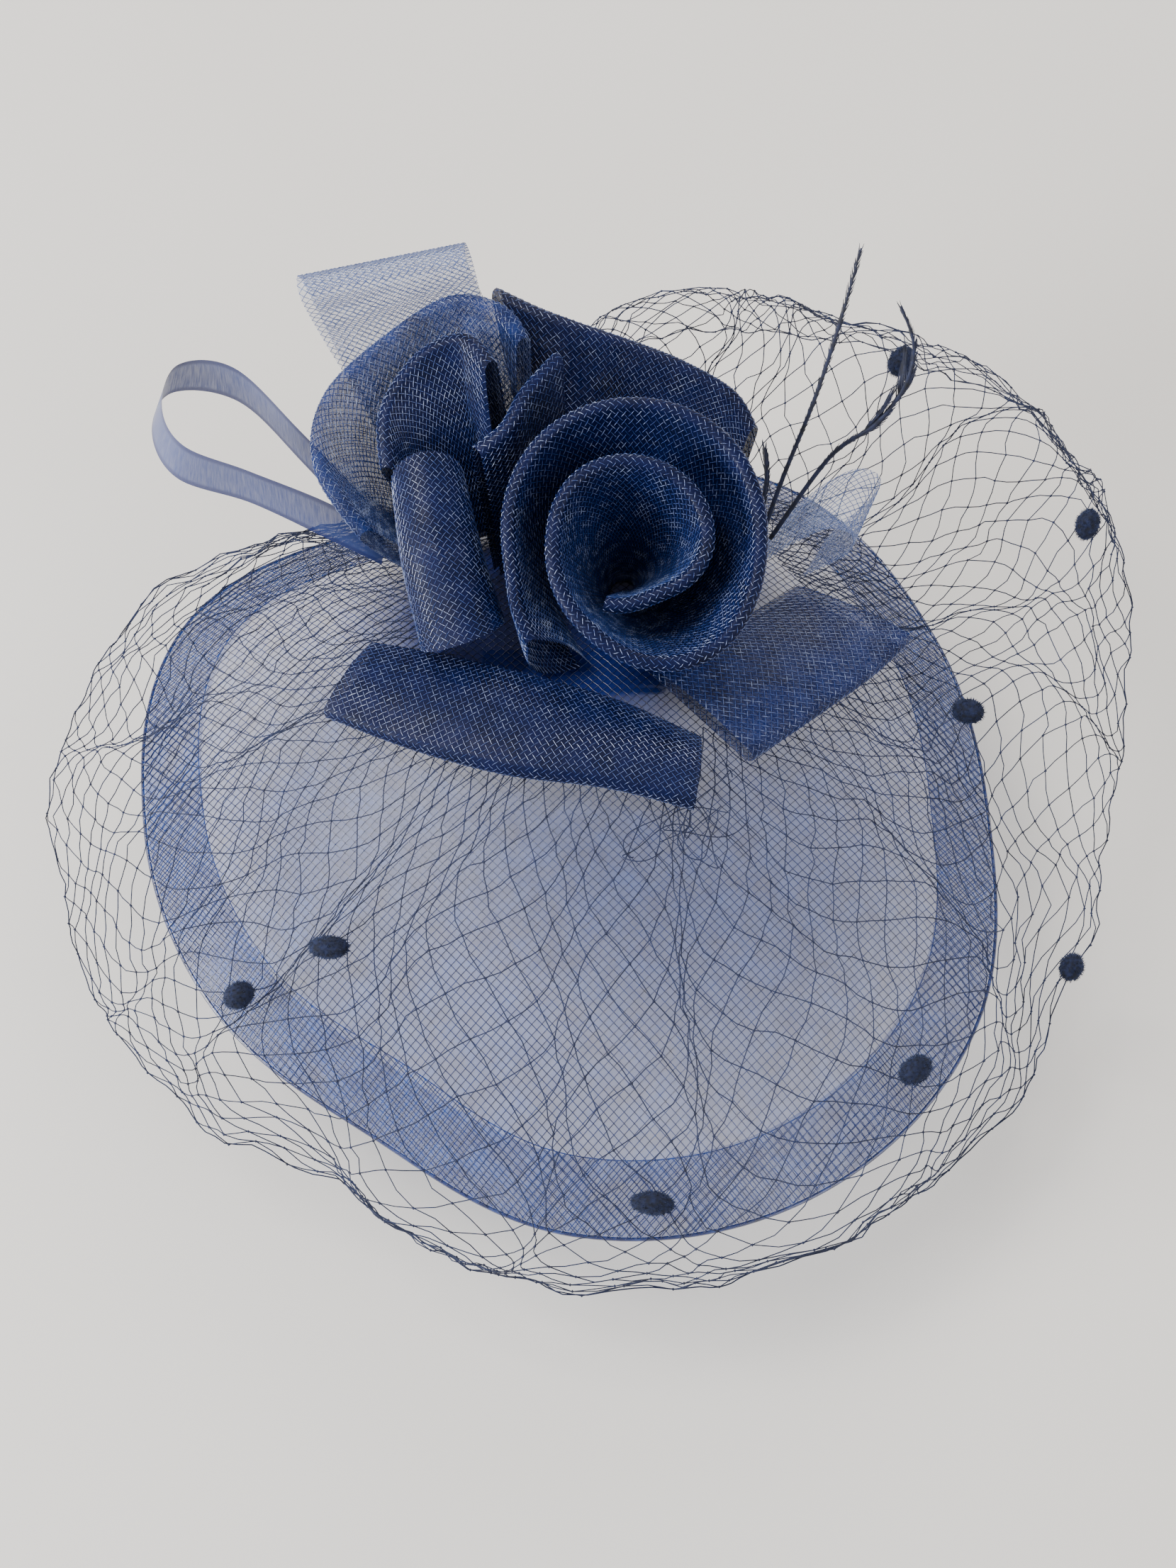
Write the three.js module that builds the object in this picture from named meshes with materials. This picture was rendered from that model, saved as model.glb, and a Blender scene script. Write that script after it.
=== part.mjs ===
import * as THREE from "three";

// Sizes in millimetres. Tables are laid out with the rim of the brim level at z = 0, the middle of
// the brim at x = y = 0 and the wearer facing +Y. The finished part is then moved so that the slot
// of the hair clip, where the part sits on the head, is the origin.
const WALL = 1.0;
const BRIM_HEIGHT = 32;
const BRIM_FULLNESS = 2.4;
const BRIM_WALL = 1.2;
const HEM_WALL = 2.2;
const HEM_STARTS = 0.85;
const BRIM_SPOKES = 36;
const BRIM_RINGS = [0.18, 0.36, 0.53, 0.69, 0.82, 0.87, 0.94, 1];
const BRIM_OUTLINE = [
  { radius: 106, angle: 0 },
  { radius: 110, angle: 30 },
  { radius: 117, angle: 60 },
  { radius: 108, angle: 90 },
  { radius: 104, angle: 120 },
  { radius: 119, angle: 150 },
  { radius: 110, angle: 180 },
  { radius: 102, angle: 210 },
  { radius: 96, angle: 240 },
  { radius: 107, angle: 270 },
  { radius: 113, angle: 300 },
  { radius: 113, angle: 330 },
];

// The rose: its lip winds round a leaning axis and its foot winds round a smaller coil on the brim,
// ahead of the lip at the end of the strip, where the outer layer swells by puff.
const ROSE_LEAN = 20;
const ROSE_MIDDLE = new THREE.Vector3(13.5, 40.5, 68);
const ROSE_FOOT = new THREE.Vector2(13.5, 52);
const ROSE_LIP = 1.8;
const ROSE_FOOT_HALF = 1.2;
const ROSE_HEART_ENDS = 0.435;
const ROSE_GAP = 0.009;
const ROSE_TURNS = [
  { turn: -115, radius: 15, rise: -3, foot_turn: -115, foot: 2, lift: 1.6, puff: 0 },
  { turn: -60, radius: 13.2, rise: -2, foot_turn: -60, foot: 2.2, lift: 1.6, puff: 0 },
  { turn: 0, radius: 18.6, rise: -0.5, foot_turn: 0, foot: 2.6, lift: 1.6, puff: 0 },
  { turn: 60, radius: 20.9, rise: 0, foot_turn: 60, foot: 3.2, lift: 1.6, puff: 0 },
  { turn: 120, radius: 21.6, rise: 0, foot_turn: 120, foot: 4, lift: 1.6, puff: 0 },
  { turn: 180, radius: 19.1, rise: 0, foot_turn: 180, foot: 5.2, lift: 1.6, puff: 0 },
  { turn: 240, radius: 22.4, rise: 0, foot_turn: 240, foot: 7.6, lift: 1.6, puff: 0 },
  { turn: 300, radius: 31.6, rise: -0.7, foot_turn: 300, foot: 9, lift: 1.6, puff: 0 },
  { turn: 360, radius: 31.7, rise: -1.5, foot_turn: 360, foot: 9.8, lift: 1.6, puff: 0 },
  { turn: 420, radius: 36, rise: -2.3, foot_turn: 420, foot: 11.5, lift: 1.6, puff: 0 },
  { turn: 480, radius: 35.4, rise: -4, foot_turn: 480, foot: 14, lift: 1.6, puff: 0 },
  { turn: 540, radius: 29.5, rise: -7, foot_turn: 546, foot: 18, lift: 1.6, puff: 1 },
  { turn: 564, radius: 30.5, rise: -10.5, foot_turn: 586, foot: 22, lift: 1.6, puff: 3.5 },
  { turn: 580, radius: 32, rise: -14.5, foot_turn: 606, foot: 27, lift: 2.4, puff: 6.5 },
];

// Folded strips: foot_x, foot_y and lift place the closed foot over the brim, lip_* is the rounded
// fold, puff is how far the front layer swells from the middle; the back layer swells less. Where a
// row gives roll, that is the radius of its lip instead of the one named here.
const BACK_PUFF = 0.3;
const PETAL_LIP = 2.2;
const SASH_LIP = 2.6;
const PETAL_FOOT_HALF = 1.4;
const LEFT_FOLD_FOOT_HALF = 5;
const LEFT_FOLD = [
  { foot_x: -33.3, foot_y: 60, lift: 5.8, lip_x: -37, lip_y: 70, lip_z: 64, puff: 1, roll: 9 },
  { foot_x: -30.8, foot_y: 47, lift: 5.8, lip_x: -33.8, lip_y: 52, lip_z: 59, puff: 1, roll: 10 },
  { foot_x: -28, foot_y: 38, lift: 5.8, lip_x: -30.5, lip_y: 38, lip_z: 53.5, puff: 1, roll: 10.5 },
  { foot_x: -27, foot_y: 34.5, lift: 9.3, lip_x: -27.5, lip_y: 24, lip_z: 49.4, puff: 0.5, roll: 11 },
];
const PETAL_LEFT_OUTER = [
  { foot_x: -39.4, foot_y: 59, lift: 5.5, lip_x: -53.2, lip_y: 61, lip_z: 41, puff: 1 },
  { foot_x: -42.3, foot_y: 66, lift: 5.5, lip_x: -65, lip_y: 77, lip_z: 50, puff: 2.5 },
  { foot_x: -40, foot_y: 74, lift: 5.5, lip_x: -62, lip_y: 92, lip_z: 58, puff: 3 },
  { foot_x: -34, foot_y: 80, lift: 5.5, lip_x: -46, lip_y: 105, lip_z: 65, puff: 3 },
  { foot_x: -26, foot_y: 84, lift: 5.5, lip_x: -31, lip_y: 113, lip_z: 69, puff: 2.5 },
  { foot_x: -18.5, foot_y: 83.5, lift: 5.5, lip_x: -18.5, lip_y: 109, lip_z: 70.5, puff: 1.5 },
  { foot_x: -12.5, foot_y: 79.5, lift: 5.5, lip_x: -12.5, lip_y: 99, lip_z: 70.5, puff: 0.5 },
];
const PETAL_LEFT_INNER = [
  { foot_x: -33, foot_y: 66, lift: 4.9, lip_x: -47, lip_y: 72, lip_z: 54, puff: 1 },
  { foot_x: -30.5, foot_y: 69.5, lift: 4.9, lip_x: -47.5, lip_y: 85, lip_z: 61, puff: 3 },
  { foot_x: -25.5, foot_y: 72, lift: 4.9, lip_x: -39, lip_y: 96, lip_z: 68, puff: 4 },
  { foot_x: -19.5, foot_y: 73.5, lift: 4.9, lip_x: -27.5, lip_y: 99, lip_z: 72, puff: 3.5 },
  { foot_x: -14.5, foot_y: 72.5, lift: 4.9, lip_x: -20.5, lip_y: 90, lip_z: 73, puff: 1.5 },
];
const PETAL_MIDDLE = [
  { foot_x: -20, foot_y: 60, lift: 0.5, lip_x: -24, lip_y: 70.5, lip_z: 64.5, puff: 0.5 },
  { foot_x: -15, foot_y: 66, lift: 0.5, lip_x: -16.5, lip_y: 75.4, lip_z: 68, puff: 1 },
  { foot_x: -8.5, foot_y: 71.5, lift: 0.5, lip_x: -11.9, lip_y: 84, lip_z: 70, puff: 1.5 },
  { foot_x: -3, foot_y: 74, lift: 0.5, lip_x: -4, lip_y: 94, lip_z: 71, puff: 0.5 },
];
const PETAL_RIGHT = [
  { foot_x: -9, foot_y: 85.5, lift: 5.8, lip_x: -20, lip_y: 117, lip_z: 67, puff: 0.5 },
  { foot_x: -4, foot_y: 82.5, lift: 5.9, lip_x: -9.5, lip_y: 111, lip_z: 67, puff: 1 },
  { foot_x: 2.5, foot_y: 78, lift: 1.6, lip_x: -1, lip_y: 108, lip_z: 66, puff: 1.5 },
  { foot_x: 11, foot_y: 82, lift: 1.2, lip_x: 12.4, lip_y: 103.7, lip_z: 64, puff: 3 },
  { foot_x: 21, foot_y: 80, lift: 1.2, lip_x: 27, lip_y: 99, lip_z: 61, puff: 3 },
  { foot_x: 30, foot_y: 75, lift: 1.2, lip_x: 40, lip_y: 93.5, lip_z: 56, puff: 3 },
  { foot_x: 36, foot_y: 68, lift: 1.2, lip_x: 45.5, lip_y: 86, lip_z: 51, puff: 1 },
];
const LOWER_SASH = [
  { foot_x: 30.5, foot_y: 4, lift: 7.2, lip_x: 28.6, lip_y: -15, lip_z: 39.9, puff: 3 },
  { foot_x: 12, foot_y: 13, lift: 7.2, lip_x: 8, lip_y: -10, lip_z: 41.4, puff: 2.5 },
  { foot_x: -8, foot_y: 20, lift: 7.2, lip_x: -16, lip_y: -6.5, lip_z: 41.4, puff: 2 },
  { foot_x: -27, foot_y: 26, lift: 7.2, lip_x: -39, lip_y: 1.5, lip_z: 38.9, puff: 2 },
  { foot_x: -50, foot_y: 33, lift: 7.2, lip_x: -61, lip_y: 13, lip_z: 33.9, puff: 1.5 },
];
const RIGHT_WING = [
  { foot_x: 57, foot_y: 54, lift: 5.9, lip_x: 85, lip_y: 39, lip_z: 25.3, puff: 1 },
  { foot_x: 46, foot_y: 44, lift: 5.9, lip_x: 75, lip_y: 27, lip_z: 29.9, puff: 2 },
  { foot_x: 33, foot_y: 34, lift: 5.9, lip_x: 60, lip_y: 13, lip_z: 34.9, puff: 2 },
  { foot_x: 19, foot_y: 24, lift: 5.9, lip_x: 43, lip_y: -1, lip_z: 37.9, puff: 1.5 },
];

// Ribbons: the middle line and the half width across it.
const RIBBON_LOOP_LEFT = [
  { x: -49.4, y: 66, z: 24, across_x: 0.5, across_y: 3.4, across_z: 0.6 },
  { x: -62, y: 70, z: 31.4, across_x: 0, across_y: 3.4, across_z: 3.4 },
  { x: -82, y: 74, z: 42, across_x: 0, across_y: 1.8, across_z: 4.7 },
  { x: -99, y: 77, z: 49, across_x: 1.4, across_y: 1.8, across_z: 4.6 },
  { x: -105, y: 87, z: 53, across_x: 2, across_y: 0.7, across_z: 4.6 },
  { x: -101, y: 98, z: 55, across_x: 1.4, across_y: 1, across_z: 4.6 },
  { x: -86, y: 99, z: 51, across_x: 0, across_y: 1.8, across_z: 4.7 },
  { x: -70, y: 88, z: 39, across_x: 0, across_y: 2, across_z: 4.4 },
  { x: -52, y: 77, z: 18, across_x: 0.5, across_y: 4, across_z: 0.8 },
];
const CRIN_LOOP_TOP = [
  { x: -29, y: 91, z: 13.1, across_x: 16, across_y: 4.7, across_z: 0 },
  { x: -34, y: 106, z: 30, across_x: 19, across_y: 4, across_z: 1 },
  { x: -43, y: 115, z: 54, across_x: 21, across_y: 3.6, across_z: 2 },
  { x: -47.5, y: 116, z: 71, across_x: 21, across_y: 3.6, across_z: 2 },
  { x: -48.5, y: 123, z: 71, across_x: 21, across_y: 3.6, across_z: 2 },
  { x: -47, y: 128, z: 55, across_x: 21, across_y: 3.6, across_z: 2 },
  { x: -41, y: 121, z: 30, across_x: 19, across_y: 4, across_z: 1 },
  { x: -31, y: 99.5, z: 9.2, across_x: 15, across_y: 4.4, across_z: 0 },
];
const LOOP_RIGHT = [
  { x: 47, y: 65, z: 23.8, across_x: 4, across_y: 8, across_z: -3 },
  { x: 57, y: 69, z: 34.2, across_x: 4, across_y: 9, across_z: -1 },
  { x: 67, y: 71, z: 41.2, across_x: 4, across_y: 9, across_z: 0 },
  { x: 73.5, y: 70, z: 40.2, across_x: 4, across_y: 9, across_z: 0 },
  { x: 73, y: 68, z: 34.2, across_x: 4, across_y: 9, across_z: 0 },
  { x: 62, y: 64, z: 25.4, across_x: 4, across_y: 8, across_z: -3 },
];

// Quills: the middle line with the width and thickness of the blade.
const FEATHER_LONG = [
  { x: 47.3, y: 65.7, z: 26.9, wide: 1.6, thick: 1.6 },
  { x: 52, y: 73, z: 46, wide: 1.6, thick: 1.4 },
  { x: 58.5, y: 80, z: 72, wide: 1.4, thick: 1.2 },
  { x: 63, y: 87, z: 94, wide: 2, thick: 1 },
  { x: 66, y: 93, z: 112, wide: 0.8, thick: 0.8 },
];
const FEATHER_SPLIT = [
  { x: 50.1, y: 66, z: 30.6, wide: 1.6, thick: 1.6 },
  { x: 63.5, y: 75, z: 54, wide: 1.6, thick: 1.4 },
  { x: 73.6, y: 76.5, z: 66, wide: 2.4, thick: 1 },
  { x: 80, y: 81.5, z: 75, wide: 3.2, thick: 1 },
  { x: 81.5, y: 87.5, z: 83, wide: 2, thick: 1 },
  { x: 77.5, y: 92, z: 92, wide: 0.8, thick: 0.8 },
];
const FEATHER_STUB = [
  { x: 46.2, y: 66.6, z: 30, wide: 2, thick: 1.6 },
  { x: 48.3, y: 73, z: 45, wide: 2.4, thick: 1.4 },
  { x: 47.4, y: 77, z: 55, wide: 0.8, thick: 0.8 },
];

// The veil, in rays from the foot of the rose: it leaves the gather, lies on the brim as far as the
// shoulder, passes over the crest and hangs to its border.
const VEIL_WALL = 1.0;
const VEIL_BAR = 2.0;
const VEIL_LIFT = 3.5;
const VEIL_COLUMNS = 24;
const VEIL_LEVELS = [0, 1 / 6, 1 / 3, 1 / 2, 2 / 3, 1];
const VEIL_RAYS = [
  { angle: -7, gather: 50, shoulder: 74, crest: 106, crest_z: 30, border: 131, border_z: 4 },
  { angle: 10, gather: 44, shoulder: 72, crest: 112, crest_z: 46, border: 131, border_z: 18 },
  { angle: 26, gather: 40, shoulder: 66, crest: 100, crest_z: 54, border: 123, border_z: 22 },
  { angle: 48, gather: 36, shoulder: 58, crest: 83, crest_z: 56, border: 106, border_z: 22 },
  { angle: 70, gather: 34, shoulder: 52, crest: 75, crest_z: 58, border: 94, border_z: 20 },
  { angle: 96, gather: 34, shoulder: 48, crest: 66, crest_z: 48, border: 80, border_z: 14 },
  { angle: 122, gather: 34, shoulder: 44, crest: 53, crest_z: 0, border: 61, border_z: 0 },
  { angle: 148, gather: 38, shoulder: 51, crest: 64, crest_z: 0, border: 76, border_z: 0 },
  { angle: 168, gather: 44, shoulder: 74, crest: 106, crest_z: 4.4, border: 124, border_z: -6 },
  { angle: 188, gather: 46, shoulder: 85, crest: 125, crest_z: 4.4, border: 150, border_z: -10 },
  { angle: 205, gather: 48, shoulder: 92, crest: 137, crest_z: 4.6, border: 161, border_z: -12 },
  { angle: 222, gather: 48, shoulder: 96, crest: 147, crest_z: 4.6, border: 166, border_z: -14 },
  { angle: 240, gather: 46, shoulder: 97, crest: 150.5, crest_z: 4.6, border: 161, border_z: -16 },
  { angle: 262, gather: 46, shoulder: 102, crest: 161, crest_z: 5.2, border: 167, border_z: -15 },
  { angle: 285, gather: 46, shoulder: 101, crest: 160, crest_z: 5.2, border: 167, border_z: -15 },
  { angle: 309, gather: 46, shoulder: 91, crest: 140, crest_z: 5, border: 153, border_z: -14 },
  { angle: 333, gather: 48, shoulder: 78, crest: 109, crest_z: 8, border: 137, border_z: -10 },
];

// Chenille dots: place on the veil, length and width, and the way they lie.
const DOT_GAP = 0.3;
const VEIL_DOTS = [
  { around: 0.148, out: 0.634, long: 9.5, wide: 7.5, heading: 60 },
  { around: 0.042, out: 0.694, long: 9.5, wide: 7, heading: 70 },
  { around: 0.964, out: 0.51, long: 9.5, wide: 7.5, heading: -10 },
  { around: 0.91, out: 0.874, long: 9, wide: 7, heading: 50 },
  { around: 0.856, out: 0.574, long: 10.5, wide: 7.5, heading: 30 },
  { around: 0.79, out: 0.598, long: 12, wide: 6.5, heading: -5 },
  { around: 0.686, out: 0.462, long: 12, wide: 6.5, heading: 0 },
  { around: 0.668, out: 0.586, long: 9.5, wide: 7.5, heading: 30 },
];

// The hidden clip: two flat leaves joined by a bend.
const CLIP_LENGTH = 46;
const CLIP_WIDTH = 10;
const CLIP_LEAF = 1.2;
const CLIP_SLOT = 2.6;
const CLIP_TOP = 27.4;
const CLIP_BEND_STEPS = 6;
const SEAT_Y = 30;
const SEAT_Z = CLIP_TOP - CLIP_LEAF - CLIP_SLOT / 2;

const RADIAN = Math.PI / 180;

// One section of a table, blended smoothly between its rows. A table that closes on itself names
// the column that winds round.
function blend(rows, t, winding) {
  const closed = winding !== undefined;
  const spans = closed ? rows.length : rows.length - 1;
  const place = closed ? t * spans : Math.min(Math.max(t, 0), 1) * spans;
  const first = closed ? Math.floor(place) : Math.min(Math.floor(place), spans - 1);
  const f = place - first;
  const pick = (k, column) => {
    if (!closed) return rows[Math.min(Math.max(k, 0), rows.length - 1)][column];
    const lap = Math.floor(k / rows.length);
    return rows[k - lap * rows.length][column] + (column === winding ? 360 * lap : 0);
  };
  const section = {};
  for (const column of Object.keys(rows[0])) {
    const [a, b, c, d] = [-1, 0, 1, 2].map((k) => pick(first + k, column));
    const bend = 2 * a - 5 * b + 4 * c - d + f * (3 * (b - c) + d - a);
    section[column] = b + 0.5 * f * (c - a + f * bend);
  }
  return section;
}

// A closed wall round a sheet of points and faces; the thickness may differ from point to point.
function wall(points, faces, thickness) {
  const normals = points.map(() => new THREE.Vector3());
  const edges = new Set();
  const index = [];
  const count = points.length;
  for (const face of faces) {
    const normal = new THREE.Vector3();
    face.forEach((corner, k) => {
      const p = points[corner];
      const q = points[face[(k + 1) % face.length]];
      normal.x += (p.y - q.y) * (p.z + q.z);
      normal.y += (p.z - q.z) * (p.x + q.x);
      normal.z += (p.x - q.x) * (p.y + q.y);
      edges.add(`${corner},${face[(k + 1) % face.length]}`);
    });
    face.forEach((corner) => normals[corner].add(normal));
    for (let k = 1; k + 1 < face.length; k++) {
      index.push(face[0], face[k], face[k + 1]);
      index.push(count + face[0], count + face[k + 1], count + face[k]);
    }
  }
  for (const edge of edges) {
    const [a, b] = edge.split(",").map(Number);
    if (edges.has(`${b},${a}`)) continue;
    index.push(b, a, count + a, b, count + a, count + b);
  }
  const position = [];
  for (const side of [0.5, -0.5]) {
    points.forEach((point, k) => {
      const reach = side * (typeof thickness === "number" ? thickness : thickness[k]);
      position.push(...point.clone().addScaledVector(normals[k].normalize(), reach).toArray());
    });
  }
  const geometry = new THREE.BufferGeometry();
  geometry.setAttribute("position", new THREE.Float32BufferAttribute(position, 3));
  geometry.setIndex(index);
  geometry.computeVertexNormals();
  return geometry;
}

// A wall over a grid of lines, each line a list of points.
function gridWall(lines, thickness) {
  const width = lines[0].length;
  const faces = [];
  for (let i = 0; i + 1 < lines.length; i++) {
    for (let j = 0; j + 1 < width; j++) {
      const corner = i * width + j;
      faces.push([corner, corner + width, corner + width + 1, corner + 1]);
    }
  }
  return wall(lines.flat(), faces, thickness);
}

function rimRadius(angle) {
  return blend(BRIM_OUTLINE, angle / 360, "angle").radius;
}

// How far out a place lies between the middle of the brim and its rim
function brimShare(x, y) {
  return Math.hypot(x, y) / rimRadius(Math.atan2(y, x) / RADIAN);
}

// Height of the brim's middle surface
function brimHeight(x, y) {
  return BRIM_HEIGHT * (1 - Math.min(brimShare(x, y), 1) ** BRIM_FULLNESS);
}

function overBrim(x, y, lift) {
  return new THREE.Vector3(x, y, brimHeight(x, y) + BRIM_WALL / 2 + lift);
}

function brim() {
  const points = [new THREE.Vector3(0, 0, BRIM_HEIGHT)];
  const thickness = [BRIM_WALL];
  const faces = [];
  BRIM_RINGS.forEach((share, ring) => {
    for (let k = 0; k < BRIM_SPOKES; k++) {
      const angle = (360 * k) / BRIM_SPOKES;
      const reach = share * rimRadius(angle);
      const x = reach * Math.cos(angle * RADIAN);
      const y = reach * Math.sin(angle * RADIAN);
      points.push(new THREE.Vector3(x, y, brimHeight(x, y)));
      thickness.push(share > HEM_STARTS ? HEM_WALL : BRIM_WALL);
      const next = (k + 1) % BRIM_SPOKES;
      const here = 1 + ring * BRIM_SPOKES;
      if (ring === 0) faces.push([0, here + k, here + next]);
      else faces.push([here - BRIM_SPOKES + k, here + k, here + next, here - BRIM_SPOKES + next]);
    }
  });
  return wall(points, faces, thickness);
}

// A strip folded along its length: two layers rise from the foot and meet in a rounded lip.
function foldedStrip(section, steps, footHalf) {
  const lines = [];
  const nudge = 0.01;
  for (let i = 0; i <= steps; i++) {
    const u = i / steps;
    const here = section(u);
    const before = section(Math.max(u - nudge, 0));
    const after = section(Math.min(u + nudge, 1));
    const along = after.lip.clone().add(after.foot).sub(before.lip).sub(before.foot);
    const rise = here.lip.clone().sub(here.foot);
    const out = along.cross(rise).normalize();
    rise.normalize();
    const { roll } = here;
    const crown = here.lip.clone().addScaledVector(rise, -roll);
    const line = [];
    const layer = (t, side) => {
      const puff = here.puff * (side > 0 ? 1 : BACK_PUFF);
      const half = footHalf * (1 - t) + roll * t + puff * 4 * t * (1 - t);
      line.push(here.foot.clone().lerp(crown, t).addScaledVector(out, side * half));
    };
    [0, 0.34, 0.7, 1].forEach((t) => layer(t, 1));
    for (const turn of [45, 90, 135]) {
      const point = crown.clone().addScaledVector(out, roll * Math.cos(turn * RADIAN));
      line.push(point.addScaledVector(rise, roll * Math.sin(turn * RADIAN)));
    }
    [1, 0.7, 0.34, 0].forEach((t) => layer(t, -1));
    lines.push(line);
  }
  return gridWall(lines, WALL);
}

function petal(rows, steps, lip = PETAL_LIP, footHalf = PETAL_FOOT_HALF) {
  const section = (u) => {
    const row = blend(rows, u);
    return {
      foot: overBrim(row.foot_x, row.foot_y, row.lift),
      lip: new THREE.Vector3(row.lip_x, row.lip_y, row.lip_z),
      puff: row.puff,
      roll: row.roll ?? lip,
    };
  };
  return foldedStrip(section, steps, footHalf);
}

// A stretch of the rose's strip, from one share of its length to another
function roseCoil(from, to, steps) {
  const lean = ROSE_LEAN * RADIAN;
  const axis = new THREE.Vector3(0, -Math.sin(lean), Math.cos(lean));
  const ahead = new THREE.Vector3(0, Math.cos(lean), Math.sin(lean));
  const section = (u) => {
    const row = blend(ROSE_TURNS, from + (to - from) * u);
    const lip = ROSE_MIDDLE.clone().addScaledVector(axis, row.rise);
    lip.x += row.radius * Math.cos(row.turn * RADIAN);
    lip.addScaledVector(ahead, row.radius * Math.sin(row.turn * RADIAN));
    const footX = ROSE_FOOT.x + row.foot * Math.cos(row.foot_turn * RADIAN);
    const footY = ROSE_FOOT.y + row.foot * Math.sin(row.foot_turn * RADIAN);
    return { foot: overBrim(footX, footY, row.lift), lip, puff: row.puff, roll: ROSE_LIP };
  };
  return foldedStrip(section, steps, ROSE_FOOT_HALF);
}

function ribbon(rows, steps, strips) {
  const lines = [];
  for (let i = 0; i <= steps; i++) {
    const row = blend(rows, i / steps);
    const line = [];
    for (let j = 0; j <= strips; j++) {
      const side = (2 * j) / strips - 1;
      const x = row.x + side * row.across_x;
      const y = row.y + side * row.across_y;
      line.push(new THREE.Vector3(x, y, row.z + side * row.across_z));
    }
    lines.push(line);
  }
  return gridWall(lines, WALL);
}

// A blade swept along its middle line, closed by a point at each end.
function quill(rows, steps) {
  const sides = 6;
  const position = [];
  const index = [];
  const spot = (u) => {
    const row = blend(rows, u);
    return new THREE.Vector3(row.x, row.y, row.z);
  };
  for (let i = 0; i <= steps; i++) {
    const u = i / steps;
    const row = blend(rows, u);
    const along = spot(Math.min(u + 0.02, 1)).sub(spot(Math.max(u - 0.02, 0))).normalize();
    const across = new THREE.Vector3(1, -0.5, 0).cross(along).cross(along).normalize();
    const deep = across.clone().cross(along);
    for (let k = 0; k < sides; k++) {
      const angle = (360 * k * RADIAN) / sides;
      const point = spot(u).addScaledVector(across, 0.5 * row.wide * Math.cos(angle));
      position.push(...point.addScaledVector(deep, 0.5 * row.thick * Math.sin(angle)).toArray());
      if (i === steps) continue;
      const a = i * sides + k;
      const b = i * sides + ((k + 1) % sides);
      index.push(a, b + sides, b, a, a + sides, b + sides);
    }
  }
  const last = steps * sides;
  for (let k = 1; k + 1 < sides; k++) {
    index.push(0, k, k + 1);
    index.push(last, last + k + 1, last + k);
  }
  const geometry = new THREE.BufferGeometry();
  geometry.setAttribute("position", new THREE.Float32BufferAttribute(position, 3));
  geometry.setIndex(index);
  geometry.computeVertexNormals();
  return geometry;
}

// A point of the veil's middle surface
function veilPoint(around, out) {
  const ray = blend(VEIL_RAYS, around, "angle");
  const at = (reach) => [
    ROSE_FOOT.x + reach * Math.cos(ray.angle * RADIAN),
    ROSE_FOOT.y + reach * Math.sin(ray.angle * RADIAN),
  ];
  const stops = [
    overBrim(...at(ray.gather), VEIL_LIFT),
    overBrim(...at(ray.shoulder), VEIL_LIFT),
    new THREE.Vector3(...at(ray.crest), ray.crest_z),
    new THREE.Vector3(...at(ray.border), ray.border_z),
  ];
  const { x, y, z } = blend(stops.map((stop) => ({ x: stop.x, y: stop.y, z: stop.z })), out);
  const floor = brimShare(x, y) < 1 ? overBrim(x, y, VEIL_LIFT).z : z;
  return new THREE.Vector3(x, y, Math.max(z, floor));
}

function veilNormal(around, out) {
  const step = 0.004;
  const along = veilPoint(around + step, out).sub(veilPoint(around - step, out));
  const down = veilPoint(around, Math.min(out + step, 1)).sub(veilPoint(around, Math.max(out - step, 0)));
  return down.cross(along).normalize();
}

// Crossings of the net; the nearest crossing inside each dot is drawn out to it.
function veilCrossings() {
  const crossings = [];
  VEIL_LEVELS.forEach((out, level) => {
    for (let k = 0; k < VEIL_COLUMNS; k++) {
      crossings.push({ around: (k + 0.5 * (level % 2)) / VEIL_COLUMNS, out });
    }
  });
  for (const dot of VEIL_DOTS) {
    const target = veilPoint(dot.around, dot.out);
    const distance = (c) => veilPoint(c.around, c.out).distanceTo(target);
    const inside = crossings.filter((c) => c.out < dot.out + 0.02);
    const nearest = inside.reduce((best, c) => (distance(c) < distance(best) ? c : best));
    nearest.around = dot.around;
    nearest.out = dot.out;
  }
  return crossings.map((c) => veilPoint(c.around, c.out));
}

// The net: each mesh is a frame of half bars round a gap; the meshes at the gather are closed.
function veil() {
  const points = veilCrossings();
  const faces = [];
  const at = (level, k) => level * VEIL_COLUMNS + ((k + VEIL_COLUMNS) % VEIL_COLUMNS);
  const frame = (corners) => {
    const inner = corners.map((corner, k) => {
      const here = points[corner];
      const ahead = points[corners[(k + 1) % corners.length]].clone().sub(here).normalize();
      const behind = points[corners[(k + corners.length - 1) % corners.length]].clone().sub(here).normalize();
      const reach = (0.5 * VEIL_BAR) / Math.sin(ahead.angleTo(behind));
      points.push(here.clone().addScaledVector(ahead.add(behind), reach));
      return points.length - 1;
    });
    corners.forEach((corner, k) => {
      const next = (k + 1) % corners.length;
      faces.push([corner, corners[next], inner[next], inner[k]]);
    });
  };
  const last = VEIL_LEVELS.length - 1;
  for (let level = 0; level < last; level++) {
    const shift = level % 2;
    for (let k = 0; k < VEIL_COLUMNS; k++) {
      const left = at(level + 1, k - 1 + shift);
      const right = at(level + 1, k + shift);
      if (level === 0) faces.push([at(0, k), at(1, k), at(0, k + 1)]);
      if (level + 2 <= last) frame([at(level, k), left, at(level + 2, k), right]);
      else frame([at(level, k), left, right]);
    }
  }
  return wall(points, faces, VEIL_WALL);
}

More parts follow.
